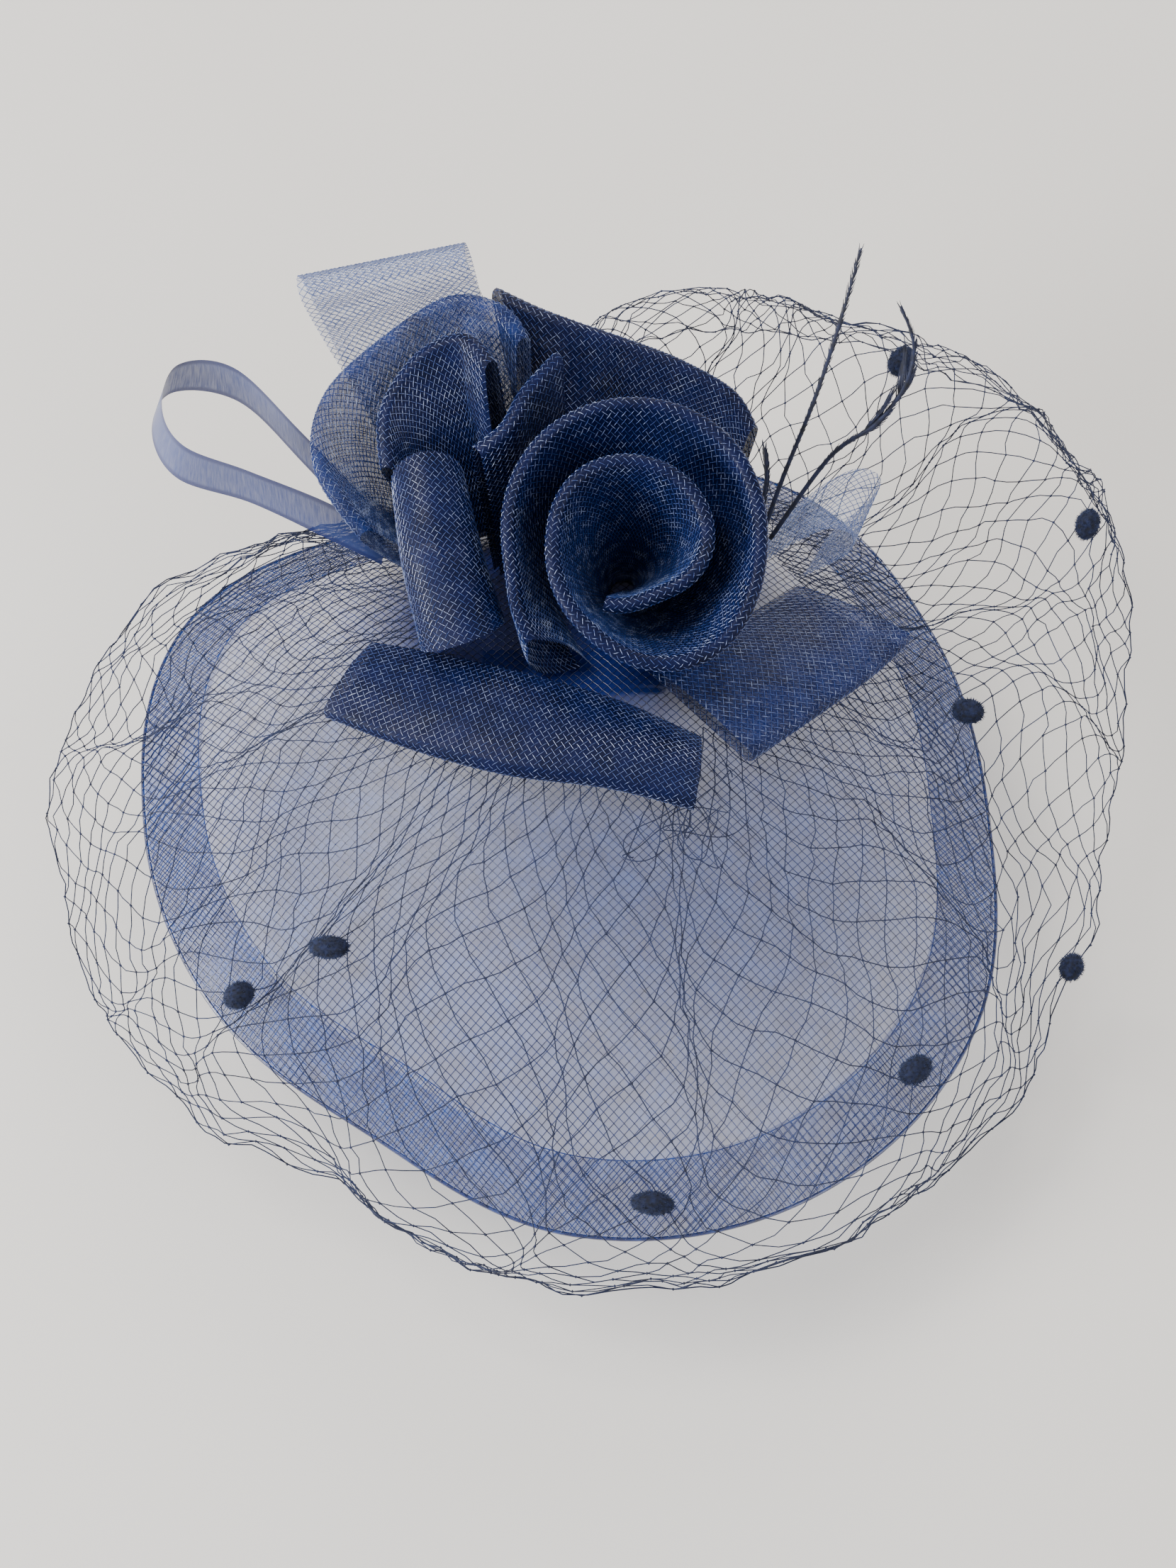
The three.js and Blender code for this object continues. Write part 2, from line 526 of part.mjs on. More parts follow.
function veilDot({ around, out, long, wide, heading }) {
  const normal = veilNormal(around, out);
  const east = new THREE.Vector3(1, 0, 0).projectOnPlane(normal).normalize();
  const north = normal.clone().cross(east);
  const ahead = east.clone().multiplyScalar(Math.cos(heading * RADIAN));
  ahead.addScaledVector(north, Math.sin(heading * RADIAN));
  const beside = normal.clone().cross(ahead);
  const lift = 0.5 * (VEIL_WALL + wide) + DOT_GAP;
  const geometry = new THREE.SphereGeometry(0.5, 10, 5);
  geometry.rotateZ(-90 * RADIAN);
  geometry.scale(long, wide, wide);
  geometry.applyMatrix4(new THREE.Matrix4().makeBasis(ahead, beside, normal));
  const seat = veilPoint(around, out).addScaledVector(normal, lift);
  return geometry.translate(seat.x, seat.y, seat.z);
}

function hairClip() {
  const outer = CLIP_SLOT / 2 + CLIP_LEAF;
  const inner = CLIP_SLOT / 2;
  const open = -CLIP_LENGTH / 2;
  const bend = CLIP_LENGTH / 2 - outer;
  const shape = new THREE.Shape();
  shape.moveTo(open, outer);
  shape.lineTo(bend, outer);
  shape.absarc(bend, 0, outer, 90 * RADIAN, -90 * RADIAN, true);
  shape.lineTo(open, -outer);
  shape.lineTo(open, -inner);
  shape.lineTo(bend, -inner);
  shape.absarc(bend, 0, inner, -90 * RADIAN, 90 * RADIAN, false);
  shape.lineTo(open, inner);
  shape.closePath();
  const options = { depth: CLIP_WIDTH, bevelEnabled: false, curveSegments: CLIP_BEND_STEPS };
  const geometry = new THREE.ExtrudeGeometry(shape, options);
  geometry.rotateX(90 * RADIAN);
  return geometry.translate(0, SEAT_Y + CLIP_WIDTH / 2, SEAT_Z);
}

const group = new THREE.Group();

function add(name, geometry, color, roughness, metalness = 0) {
  geometry.translate(0, -SEAT_Y, -SEAT_Z);
  const material = new THREE.MeshStandardMaterial({ color, roughness, metalness });
  const mesh = new THREE.Mesh(geometry, material);
  mesh.name = name;
  group.add(mesh);
}

const NET_BLUE = 0x24356f;
const ORGANZA_BLUE = 0x4a5c9c;
const DARK_NAVY = 0x10193f;
const STEEL = 0x8a8d92;
const MESH_ROUGHNESS = 0.45;
const RIBBON_ROUGHNESS = 0.55;
const QUILL_ROUGHNESS = 0.7;
const PILE_ROUGHNESS = 0.95;
const STEEL_ROUGHNESS = 0.35;

// How many facets each folded strip has along its length.
const FOLD_STEPS = {
  rose_heart: 15,
  rose_outer: 20,
  left_fold: 10,
  petal_left_outer: 14,
  petal_left_inner: 12,
  petal_middle: 10,
  petal_right: 13,
  lower_sash: 14,
  right_wing: 11,
};

const roseHeart = roseCoil(0, ROSE_HEART_ENDS, FOLD_STEPS.rose_heart);
const roseOuter = roseCoil(ROSE_HEART_ENDS + ROSE_GAP, 1, FOLD_STEPS.rose_outer);
const leftFold = petal(LEFT_FOLD, FOLD_STEPS.left_fold, PETAL_LIP, LEFT_FOLD_FOOT_HALF);
add("brim", brim(), NET_BLUE, MESH_ROUGHNESS);
add("rose_heart", roseHeart, NET_BLUE, MESH_ROUGHNESS);
add("rose_outer", roseOuter, NET_BLUE, MESH_ROUGHNESS);
add("left_fold", leftFold, NET_BLUE, MESH_ROUGHNESS);
const petals = {
  petal_left_outer: PETAL_LEFT_OUTER,
  petal_left_inner: PETAL_LEFT_INNER,
  petal_middle: PETAL_MIDDLE,
  petal_right: PETAL_RIGHT,
  right_wing: RIGHT_WING,
};
for (const [name, rows] of Object.entries(petals)) {
  add(name, petal(rows, FOLD_STEPS[name]), NET_BLUE, MESH_ROUGHNESS);
}
add("lower_sash", petal(LOWER_SASH, FOLD_STEPS.lower_sash, SASH_LIP), NET_BLUE, MESH_ROUGHNESS);
add("ribbon_loop_left", ribbon(RIBBON_LOOP_LEFT, 28, 2), ORGANZA_BLUE, RIBBON_ROUGHNESS);
add("crin_loop_top", ribbon(CRIN_LOOP_TOP, 24, 4), ORGANZA_BLUE, RIBBON_ROUGHNESS);
add("loop_right", ribbon(LOOP_RIGHT, 18, 3), ORGANZA_BLUE, RIBBON_ROUGHNESS);
add("feather_long", quill(FEATHER_LONG, 14), DARK_NAVY, QUILL_ROUGHNESS);
add("feather_split", quill(FEATHER_SPLIT, 14), DARK_NAVY, QUILL_ROUGHNESS);
add("feather_stub", quill(FEATHER_STUB, 6), DARK_NAVY, QUILL_ROUGHNESS);
add("veil", veil(), DARK_NAVY, MESH_ROUGHNESS);
VEIL_DOTS.forEach((dot, k) => {
  add(`veil_dot_${String(k + 1).padStart(2, "0")}`, veilDot(dot), DARK_NAVY, PILE_ROUGHNESS);
});
add("hair_clip", hairClip(), STEEL, STEEL_ROUGHNESS, 1);

export default group;
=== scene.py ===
import math

import bpy
import numpy as np
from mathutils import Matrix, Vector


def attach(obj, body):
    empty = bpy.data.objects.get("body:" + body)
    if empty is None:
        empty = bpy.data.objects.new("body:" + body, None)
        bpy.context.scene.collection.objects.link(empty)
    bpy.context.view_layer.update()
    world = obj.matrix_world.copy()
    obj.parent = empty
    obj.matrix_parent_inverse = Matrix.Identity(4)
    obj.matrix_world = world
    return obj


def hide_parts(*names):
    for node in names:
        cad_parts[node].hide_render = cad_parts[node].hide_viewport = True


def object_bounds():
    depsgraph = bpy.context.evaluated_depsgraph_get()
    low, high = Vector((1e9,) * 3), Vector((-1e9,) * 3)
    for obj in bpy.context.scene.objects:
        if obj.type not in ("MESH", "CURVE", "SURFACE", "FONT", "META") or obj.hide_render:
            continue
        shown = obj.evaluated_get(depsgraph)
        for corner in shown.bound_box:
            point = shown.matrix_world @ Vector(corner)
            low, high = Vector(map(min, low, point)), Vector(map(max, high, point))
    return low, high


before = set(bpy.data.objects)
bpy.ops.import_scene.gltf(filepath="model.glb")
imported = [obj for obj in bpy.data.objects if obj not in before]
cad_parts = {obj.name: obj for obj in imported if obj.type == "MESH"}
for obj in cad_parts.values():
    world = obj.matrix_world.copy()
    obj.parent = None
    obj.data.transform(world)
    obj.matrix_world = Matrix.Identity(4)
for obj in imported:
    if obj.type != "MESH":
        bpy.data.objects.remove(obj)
cad_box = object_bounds()

# The tables are in millimetres, with the rim of the brim level at z = 0, the middle of the brim at
# x = y = 0 and the front of the hat toward +Y. The finished part's origin is the slot of the hair clip.
MM = 0.001
SEAT = np.array([0, 30, 24.9])

# Brim: height and fullness of the dome, thickness of its solid, radius of the rim every 30 degrees.
BRIM_HEIGHT = 32
BRIM_FULLNESS = 2.4
BRIM_WALL = 1.2
RIM_RADIUS = [106, 110, 117, 108, 104, 119, 110, 102, 96, 107, 113, 113]
# Its mesh: spokes, and rings as shares of the radius; strands are laid over a square of twice this reach.
BRIM_SPOKES = 160
BRIM_RINGS = np.concatenate([np.linspace(0.02, 0.8, 26), np.linspace(0.82, 1, 14)])
BRIM_REACH = 124

# Hem folded under the brim: width, outer edge as a share of the radius, rings, how far its strands stop
# short of the rim, and the pitch of its strands as a share of the brim's.
HEM_WIDTH = 16
HEM_OUTER = 0.998
HEM_RINGS = 10
HEM_CLEAR = 0.4
HEM_PITCH = 0.97
# Radius of the cord along the rim and of the thread along the hem's inner edge, and their facets.
RIM_CORD = 0.5
HEM_LINE = 0.14
EDGE_STEPS = 241
EDGE_SIDES = 5
# Heights of the layers over the brim's middle surface.
WEAVE_LIFT = 0.25
RIM_LIFT = -0.2
HEM_WEAVE_LIFT = -0.55
HEM_LINE_LIFT = -0.6
HEM_CLOTH_LIFT = -0.8

# Where the feet of the flower are sewn through the brim, an ellipse of denser, darker cloth: the sewn
# layers, with painted shade of the recess under the rose. Its middle, height, half length and half width,
# the shares of it where the layers and the shade begin and are full, and how dense they are there.
SEWN_SHADE_MIDDLE = (-2, 48)
SEWN_SHADE_HEIGHT = 28
SEWN_SHADE_LONG = 60
SEWN_SHADE_WIDE = 46
SEWN_SHADE_BEGINS = 1.0
SEWN_SHADE_FULL = 0.6
SEWN_SHADE_BODY = 0.99

# Gloss of the faint film between strands, and of the hem, whose two layers lie flat on each other.
SHEER_GLOSS = 0.15
HEM_GLOSS = 0.8

# Crinoline: distance between strands and their radius, on the brim and on the folds, how far they weave
# up and down, and how near to an edge, in strands, they still cross another.
PITCH = 1.7
STRAND = 0.13
FOLD_PITCH = 1.4
FOLD_STRAND = 0.115
CRIMP = 0.15
EDGE_GAP = 0.2

# Rose: lean of its axis, middle of its lip and of its foot, radius of the lip, half width of the foot,
# points along its strip.
ROSE_LEAN = 20
ROSE_MIDDLE = np.array([13.5, 40.5, 68])
ROSE_FOOT = np.array([13.5, 52])
ROSE_LIP = 1.8
ROSE_FOOT_HALF = 1.2
ROSE_STEPS = 260
# Along its strip: turn, radius and rise of the lip, turn, radius and lift of the foot, puff.
ROSE_TURNS = [
    (-115, 15, -3, -115, 2, 1.6, 0),
    (-60, 13.2, -2, -60, 2.2, 1.6, 0),
    (0, 18.6, -0.5, 0, 2.6, 1.6, 0),
    (60, 20.9, 0, 60, 3.2, 1.6, 0),
    (120, 21.6, 0, 120, 4, 1.6, 0),
    (180, 19.1, 0, 180, 5.2, 1.6, 0),
    (240, 22.4, 0, 240, 7.6, 1.6, 0),
    (300, 31.6, -0.7, 300, 9, 1.6, 0),
    (360, 31.7, -1.5, 360, 9.8, 1.6, 0),
    (420, 36, -2.3, 420, 11.5, 1.6, 0),
    (480, 35.4, -4, 480, 14, 1.6, 0),
    (540, 29.5, -7, 546, 18, 1.6, 1),
    (564, 30.5, -10.5, 586, 22, 1.6, 3.5),
    (580, 32, -14.5, 606, 27, 2.4, 6.5),
]

# Folded strips: puff of the back layer as a share of the front's, radius of the lip, half width of the
# foot, points along a strip, points up each layer and round the lip.
BACK_PUFF = 0.3
PETAL_LIP = 2.2
SASH_LIP = 2.6
PETAL_FOOT_HALF = 1.4
LEFT_FOLD_FOOT_HALF = 5
FOLD_STEPS = 60
LAYER_POINTS = 14
LIP_POINTS = 12
# Along each: foot x, foot y, lift of the foot, lip x, lip y, lip z, puff and, on the thick fold, the
# radius of the lip.
LEFT_FOLD = [
    (-33.3, 60, 5.8, -37, 70, 64, 1, 9),
    (-30.8, 47, 5.8, -33.8, 52, 59, 1, 10),
    (-28, 38, 5.8, -30.5, 38, 53.5, 1, 10.5),
    (-27, 34.5, 9.3, -27.5, 24, 49.4, 0.5, 11),
]
PETAL_LEFT_OUTER = [
    (-39.4, 59, 5.5, -53.2, 61, 41, 1),
    (-42.3, 66, 5.5, -65, 77, 50, 2.5),
    (-40, 74, 5.5, -62, 92, 58, 3),
    (-34, 80, 5.5, -46, 105, 65, 3),
    (-26, 84, 5.5, -31, 113, 69, 2.5),
    (-18.5, 83.5, 5.5, -18.5, 109, 70.5, 1.5),
    (-12.5, 79.5, 5.5, -12.5, 99, 70.5, 0.5),
]
PETAL_LEFT_INNER = [
    (-33, 66, 4.9, -47, 72, 54, 1),
    (-30.5, 69.5, 4.9, -47.5, 85, 61, 3),
    (-25.5, 72, 4.9, -39, 96, 68, 4),
    (-19.5, 73.5, 4.9, -27.5, 99, 72, 3.5),
    (-14.5, 72.5, 4.9, -20.5, 90, 73, 1.5),
]
PETAL_MIDDLE = [
    (-20, 60, 0.5, -24, 70.5, 64.5, 0.5),
    (-15, 66, 0.5, -16.5, 75.4, 68, 1),
    (-8.5, 71.5, 0.5, -11.9, 84, 70, 1.5),
    (-3, 74, 0.5, -4, 94, 71, 0.5),
]
PETAL_RIGHT = [
    (-9, 85.5, 5.8, -20, 117, 67, 0.5),
    (-4, 82.5, 5.9, -9.5, 111, 67, 1),
    (2.5, 78, 1.6, -1, 108, 66, 1.5),
    (11, 82, 1.2, 12.4, 103.7, 64, 3),
    (21, 80, 1.2, 27, 99, 61, 3),
    (30, 75, 1.2, 40, 93.5, 56, 3),
    (36, 68, 1.2, 45.5, 86, 51, 1),
]
LOWER_SASH = [
    (30.5, 4, 7.2, 28.6, -15, 39.9, 3),
    (12, 13, 7.2, 8, -10, 41.4, 2.5),
    (-8, 20, 7.2, -16, -6.5, 41.4, 2),
    (-27, 26, 7.2, -39, 1.5, 38.9, 2),
    (-50, 33, 7.2, -61, 13, 33.9, 1.5),
]
RIGHT_WING = [
    (57, 54, 5.9, 85, 39, 25.3, 1),
    (46, 44, 5.9, 75, 27, 29.9, 2),
    (33, 34, 5.9, 60, 13, 34.9, 2),
    (19, 24, 5.9, 43, -1, 37.9, 1.5),
]
# Folds: name, rows, radius of the lip, half width of the foot, what it stands on.
FOLDS = [
    ("left_fold", LEFT_FOLD, PETAL_LIP, LEFT_FOLD_FOOT_HALF, "veil_net"),
    ("petal_left_outer", PETAL_LEFT_OUTER, PETAL_LIP, PETAL_FOOT_HALF, "veil_net"),
    ("petal_left_inner", PETAL_LEFT_INNER, PETAL_LIP, PETAL_FOOT_HALF, "veil_net"),
    ("petal_middle", PETAL_MIDDLE, PETAL_LIP, PETAL_FOOT_HALF, "brim_cloth"),
    ("petal_right", PETAL_RIGHT, PETAL_LIP, PETAL_FOOT_HALF, "veil_net"),
    ("lower_sash", LOWER_SASH, SASH_LIP, PETAL_FOOT_HALF, "veil_net"),
    ("right_wing", RIGHT_WING, PETAL_LIP, PETAL_FOOT_HALF, "veil_net"),
]

# Ribbons: points along and across.
RIBBON_GRID = (120, 12)
LOOP_GRID = (80, 16)
# Along each: x, y, z of the middle line, then half the width across it.
RIBBON_LOOP_LEFT = [
    (-49.4, 66, 24, 0.5, 3.4, 0.6),
    (-62, 70, 31.4, 0, 3.4, 3.4),
    (-82, 74, 42, 0, 1.8, 4.7),
    (-99, 77, 49, 1.4, 1.8, 4.6),
    (-105, 87, 53, 2, 0.7, 4.6),
    (-101, 98, 55, 1.4, 1, 4.6),
    (-86, 99, 51, 0, 1.8, 4.7),
    (-70, 88, 39, 0, 2, 4.4),
    (-52, 77, 18, 0.5, 4, 0.8),
]
CRIN_LOOP_TOP = [
    (-29, 91, 13.1, 16, 4.7, 0),
    (-34, 106, 30, 19, 4, 1),
    (-43, 115, 54, 21, 3.6, 2),
    (-47.5, 116, 71, 21, 3.6, 2),
    (-48.5, 123, 71, 21, 3.6, 2),
    (-47, 128, 55, 21, 3.6, 2),
    (-41, 121, 30, 19, 4, 1),
    (-31, 99.5, 9.2, 15, 4.4, 0),
]
LOOP_RIGHT = [
    (47, 65, 23.8, 4, 8, -3),
    (57, 69, 34.2, 4, 9, -1),
    (67, 71, 41.2, 4, 9, 0),
    (73.5, 70, 40.2, 4, 9, 0),
    (73, 68, 34.2, 4, 9, 0),
    (62, 64, 25.4, 4, 8, -3),
]

# Quills: points along, facets, the way that their barbs lie, the radius at these shares of the length.
QUILL_STEPS = 60
QUILL_SIDES = 6
QUILL_FLAT = np.array([1.0, -0.5, 0])
QUILL_SHARES = [0, 0.7, 1]
QUILL_RADII = [0.7, 0.45, 0.15]
# Barbs: pairs along a quill and where they begin and end, the most that they reach sideways and how
# much of it varies, how far they reach ahead, how they curve, points along each, radius at root and tip.
BARB_PAIRS = 90
BARB_BEGINS = 0.1
BARB_ENDS = 0.97
BARB_MOST = 0.9
BARB_SHARE = (0.6, 1)
BARB_AHEAD = (2, 3.5)
BARB_CURVE = 0.8
BARB_POINTS = 5
BARB_ROOT = 0.2
BARB_TIP = 0.05
# Sprays: barbs in each, and how much of their reach sideways and ahead varies.
SPRAY_BARBS = 40
SPRAY_SHARE = (0.75, 1)
SPRAY_AHEAD = (0.8, 1)
# Seeded draws for the barbs of all the feathers.
BARB_DRAWS = np.random.default_rng(7)
# Feathers: x, y, z of the quill and half the width of its barbs.
FEATHER_LONG = [
    (47.3, 65.7, 26.9, 0.2),
    (52, 73, 46, 0.7),
    (58.5, 80, 72, 0.8),
    (63, 87, 94, 1.2),
    (66, 93, 112, 0.6),
]
FEATHER_SPLIT = [
    (50.1, 66, 30.6, 0.3),
    (63.5, 75, 54, 0.8),
    (73.6, 76.5, 66, 1.2),
    (80, 81.5, 75, 1.4),
    (81.5, 87.5, 83, 0.9),
    (77.5, 92, 92, 0.5),
]
# Sprays of barbs left on the split feather: start and stop along it, side, reach sideways and ahead.
SPLIT_SPRAYS = [
    (0.34, 0.44, 1, 3.6, 11),
    (0.34, 0.44, -1, 0.8, 5),
    (0.54, 0.64, 1, 4.4, 9),
    (0.54, 0.64, -1, 1, 5),
]
FEATHER_STUB = [
    (46.2, 66.6, 30, 0.5),
    (48.3, 73, 45, 1.2),
    (47.4, 77, 55, 0.6),
]

# Veil: height over the brim, thickness of its solid, spans from its gather to its border.
VEIL_LIFT = 3.5
VEIL_WALL = 1.0
VEIL_SPANS = 3
# In rays from the foot of the rose: angle, gather, shoulder, crest, crest z, border, border z.
VEIL_RAYS = [
    (-7, 50, 74, 106, 30, 131, 4),
    (10, 44, 72, 112, 46, 131, 18),
    (26, 40, 66, 100, 54, 123, 22),
    (48, 36, 58, 83, 56, 106, 22),
    (70, 34, 52, 75, 58, 94, 20),
    (96, 34, 48, 66, 48, 80, 14),
    (122, 34, 44, 53, 0, 61, 0),
    (148, 38, 51, 64, 0, 76, 0),
    (168, 44, 74, 106, 4.4, 124, -6),
    (188, 46, 85, 125, 4.4, 150, -10),
    (205, 48, 92, 137, 4.6, 161, -12),
    (222, 48, 96, 147, 4.6, 166, -14),
    (240, 46, 97, 150.5, 4.6, 161, -16),
    (262, 46, 102, 161, 5.2, 167, -15),
    (285, 46, 101, 160, 5.2, 167, -15),
    (309, 46, 91, 140, 5, 153, -14),
    (333, 48, 78, 109, 8, 137, -10),
]
# Net: meshes round it and out along it, radius of its thread, of its border as a share of that, points
# along the border, radius of a knot.
NET_COLUMNS = 96
NET_LEVELS = 30
THREAD = 0.16
BORDER_SHARE = 1.2
BORDER_STEPS = 400
KNOT = 0.42
# Small folds of the net: depth in laps, folds round a lap, twist from gather to border.
NET_FOLDS = [(0.006, 9, 5), (0.004, 23, 0)]
# Slack of the net: wave size, seed and height, and the lowest that it sinks.
NET_SLACK = [(34, 3, 1.6), (9, 4, 0.7)]
SLACK_LOWEST = -1.2
# Unevenness of single threads, and sway of the whole net sideways: wave size, height and seeds.
UNEVEN_SIZE = 7
UNEVEN = 0.45
UNEVEN_SEEDS = (5, 6, 7)
SWAY_SIZE = 30
SWAY = 2.0
SWAY_SEEDS = (8, 9)
# Loose loops of thread at the mouth of the sash: how many, where, how far they spread, how long and wide
# they are, how kinked, how high they lie and how far they rise and fall.
TANGLE_LOOPS = 6
TANGLE_MIDDLE = np.array([32, -22])
TANGLE_SPREAD = 8
TANGLE_LONG = (6, 13)
TANGLE_WIDE = (2, 4.5)
TANGLE_KINK = 0.8
TANGLE_LIFT = 4
TANGLE_WAVE = 1.5
TANGLE_SWEEP = 1.7 * math.pi
TANGLE_POINTS = 40
TANGLE_SEED = 11

# Chenille dots: gap over the veil, rings and spokes of the core, how far from the poles its rings begin,
# its radius and roughness as shares of the dot's, hairs of pile, and their root, lean, thickness and length
# as such shares.
DOT_GAP = 0.3
DOT_RINGS = 11
DOT_SPOKES = 20
DOT_POLE = 0.15
DOT_CORE = 0.78
DOT_ROUGH = 0.08
DOT_HAIRS = 700
HAIR_ROOT = 0.72
HAIR_LEAN = 0.35
HAIR_THICK = 0.035
HAIR_LONG = (0.18, 0.34)
HAIR_CORNERS = [(1, 0), (-0.5, 0.87), (-0.5, -0.87)]
DOT_SEED = 100
# Place round the veil, place out along it, length, width, heading.
VEIL_DOTS = [
    (0.148, 0.634, 9.5, 7.5, 60),
    (0.042, 0.694, 9.5, 7, 70),
    (0.964, 0.51, 9.5, 7.5, -10),
    (0.91, 0.874, 9, 7, 50),
    (0.856, 0.574, 10.5, 7.5, 30),
    (0.79, 0.598, 12, 6.5, -5),
    (0.686, 0.462, 12, 6.5, 0),
    (0.668, 0.586, 9.5, 7.5, 30),
]

# Camera: its place, how far it tips up from looking straight down, its lens and sensor, and the nearest
# and farthest that it sees, in metres.
CAMERA_AT = (3.4, -246.4, 527.6)
CAMERA_TILT = 26
CAMERA_LENS = 52.3
CAMERA_SENSOR = 36
CAMERA_CLIP = (0.01, 20)

# Stage, in metres: half the floor's width, and how far the floor lies under the part.
FLOOR_HALF = 3.0
FLOOR_DROP = 0.03

# Lights, all aimed at the origin: name, place in metres, size in metres, watts, colour.
LIGHTS = [
    ("key", (-0.7, 0.2, 1.3), 0.6, 15, (1.0, 0.99, 0.97)),
    ("window", (-1.25, -0.45, 0.42), 0.5, 22, (0.94, 0.97, 1.0)),
    ("fill", (0.9, -0.6, 0.9), 1.0, 9, (0.95, 0.97, 1.0)),
    ("back", (0.3, 1.2, 0.8), 0.9, 8, (1.0, 0.98, 0.95)),
]
WORLD_STRENGTH = 0.62

# Colours, as sRGB.
NAVY = (24, 42, 102)
NAVY_DEEP = (5, 16, 60)
NAVY_LIGHT = (56, 78, 138)
# Painted glint: silver that lies at random along the strands of the folds, standing in for their shine.
PAINTED_GLINT_SILVER = (164, 178, 214)
FILM = (8, 18, 62)
FILM_DEEP = (3, 10, 42)
SHEER_DEEP = (6, 44, 122)
SHEER = (26, 86, 178)
NAVY_SHEER = (32, 56, 124)
# Blue of the layers sewn under the flower, darkened as painted shade of the recess under the rose.
SEWN_SHADE = (16, 36, 110)
PALE = (150, 166, 208)
PALE_DEEP = (96, 116, 174)
ORGANZA = (46, 66, 128)
ORGANZA_EDGE = (22, 40, 104)
INK = (13, 20, 46)
INK_LIGHT = (34, 46, 84)
PILE = (8, 12, 28)
PILE_LIGHT = (26, 36, 70)
PILE_SHEEN = (90, 110, 160)
FEATHER = (8, 12, 30)
FEATHER_LIGHT = (24, 34, 70)
STEEL = (128, 131, 137)
STEEL_LIGHT = (176, 179, 184)
FLOOR = (240, 234, 226)
FLOOR_LIGHT = (246, 241, 234)
WORLD = (222, 223, 226)

# Films between the strands: dark and light colour, body where thin and where dense.
BRIM_FILM = (SHEER_DEEP, SHEER, 0.42, 0.5)
HEM_FILM = (SHEER_DEEP, SHEER, 0.3, 0.42)
FLOWER_FILM = (FILM_DEEP, FILM, 0.9, 0.96)
OUTER_PETAL_FILM = (FILM, NAVY_SHEER, 0.54, 0.66)
WING_FILM = (FILM, NAVY, 0.6, 0.72)
LOOP_FILM = (PALE_DEEP, PALE, 0.2, 0.3)


def linear(colour):
    """An sRGB colour of 0 to 255 as the linear colour that a shader takes."""
    share = np.asarray(colour, float) / 255
    low = share / 12.92
    high = ((share + 0.055) / 1.055) ** 2.4
    return (*np.where(share <= 0.04045, low, high), 1.0)


def unit(vectors):
    return vectors / np.maximum(np.linalg.norm(vectors, axis=-1, keepdims=True), 1e-9)


def to_part(points):
    """Metres in the part's frame, from the tables' millimetres."""
    return (np.asarray(points, float) - SEAT) * MM


def cubic(a, b, c, d, f):
    """A smooth curve from b to c at f from 0 to 1, on its way from a to d."""
    return b + 0.5 * f * (c - a + f * (2 * a - 5 * b + 4 * c - d + f * (3 * (b - c) + d - a)))


def blend(rows, t):
    """Rows of a table blended smoothly at t, from 0 at its first row to 1 at its last."""
    rows = np.asarray(rows, float)
    spans = len(rows) - 1
    place = np.clip(t, 0, 1) * spans
    first = np.minimum(np.floor(place).astype(int), spans - 1)
    near = [rows[np.clip(first + k, 0, spans)] for k in (-1, 0, 1, 2)]
    return cubic(*near, (place - first)[..., None])


def blend_round(rows, t, winding=None):
    """Rows of a table that closes on itself; winding is the column that grows by 360 each lap."""
    rows = np.asarray(rows, float)
    place = np.asarray(t, float) * len(rows)
    first = np.floor(place).astype(int)
    near = []
    for k in (-1, 0, 1, 2):
        lap = (first + k) // len(rows)
        row = rows[first + k - lap * len(rows)].copy()
        if winding is not None:
            row[..., winding] += 360 * lap
        near.append(row)
    return cubic(*near, (place - first)[..., None])


def rim_radius(x, y):
    angle = np.degrees(np.arctan2(y, x))
    return blend_round(np.array(RIM_RADIUS)[:, None], angle / 360)[..., 0]


def brim_height(x, y):
    share = np.minimum(np.hypot(x, y) / rim_radius(x, y), 1)
    return BRIM_HEIGHT * (1 - share**BRIM_FULLNESS)


def in_brim(x, y):
    return np.hypot(x, y) < rim_radius(x, y)


def over_brim(x, y, lift):
    return np.stack([x, y, brim_height(x, y) + BRIM_WALL / 2 + lift], -1)


def ripple(points, size, seed):
    """A smooth unevenness between about -1 and 1, with waves of about that size."""
    rng = np.random.default_rng(seed)
    waves = 6
    total = np.zeros(points.shape[:-1])
    for _ in range(waves):
        way = unit(rng.normal(size=3)) * 2 * math.pi / (size * rng.uniform(0.7, 1.6))
        total += np.sin(points @ way + rng.uniform(0, 2 * math.pi))
    return total / (waves / 2)


class Cloth:
    """A sheet as a grid of points, with its lengths along and across, read anywhere between them."""

    def __init__(self, grid):
        self.grid = grid
        middle = grid[:, grid.shape[1] // 2]
        steps = np.linalg.norm(np.diff(middle, axis=0), axis=1)
        self.along = np.concatenate([[0], np.cumsum(steps)])
        steps = np.linalg.norm(np.diff(grid, axis=1), axis=2).mean(0)
        self.across = np.concatenate([[0], np.cumsum(steps)])
        lengthways = np.gradient(grid, axis=0)
        sideways = np.gradient(grid, axis=1)
        self.normals = unit(np.cross(lengthways, sideways))

    def at(self, a, b):
        i = np.interp(a, self.along, np.arange(len(self.along)))
        j = np.interp(b, self.across, np.arange(len(self.across)))
        i0 = np.minimum(i.astype(int), len(self.along) - 2)
        j0 = np.minimum(j.astype(int), len(self.across) - 2)
        f = (i - i0)[:, None]
        g = (j - j0)[:, None]

        def read(grid):
            near = grid[i0, j0] * (1 - g) + grid[i0, j0 + 1] * g
            far = grid[i0 + 1, j0] * (1 - g) + grid[i0 + 1, j0 + 1] * g
            return near * (1 - f) + far * f

        return read(self.grid), unit(read(self.normals))

    def area(self):
        """Square millimetres of cloth."""
        p = self.grid
        sides = np.cross(p[1:, 1:] - p[:-1, :-1], p[1:, :-1] - p[:-1, 1:])
        return np.linalg.norm(sides, axis=2).sum() / 2


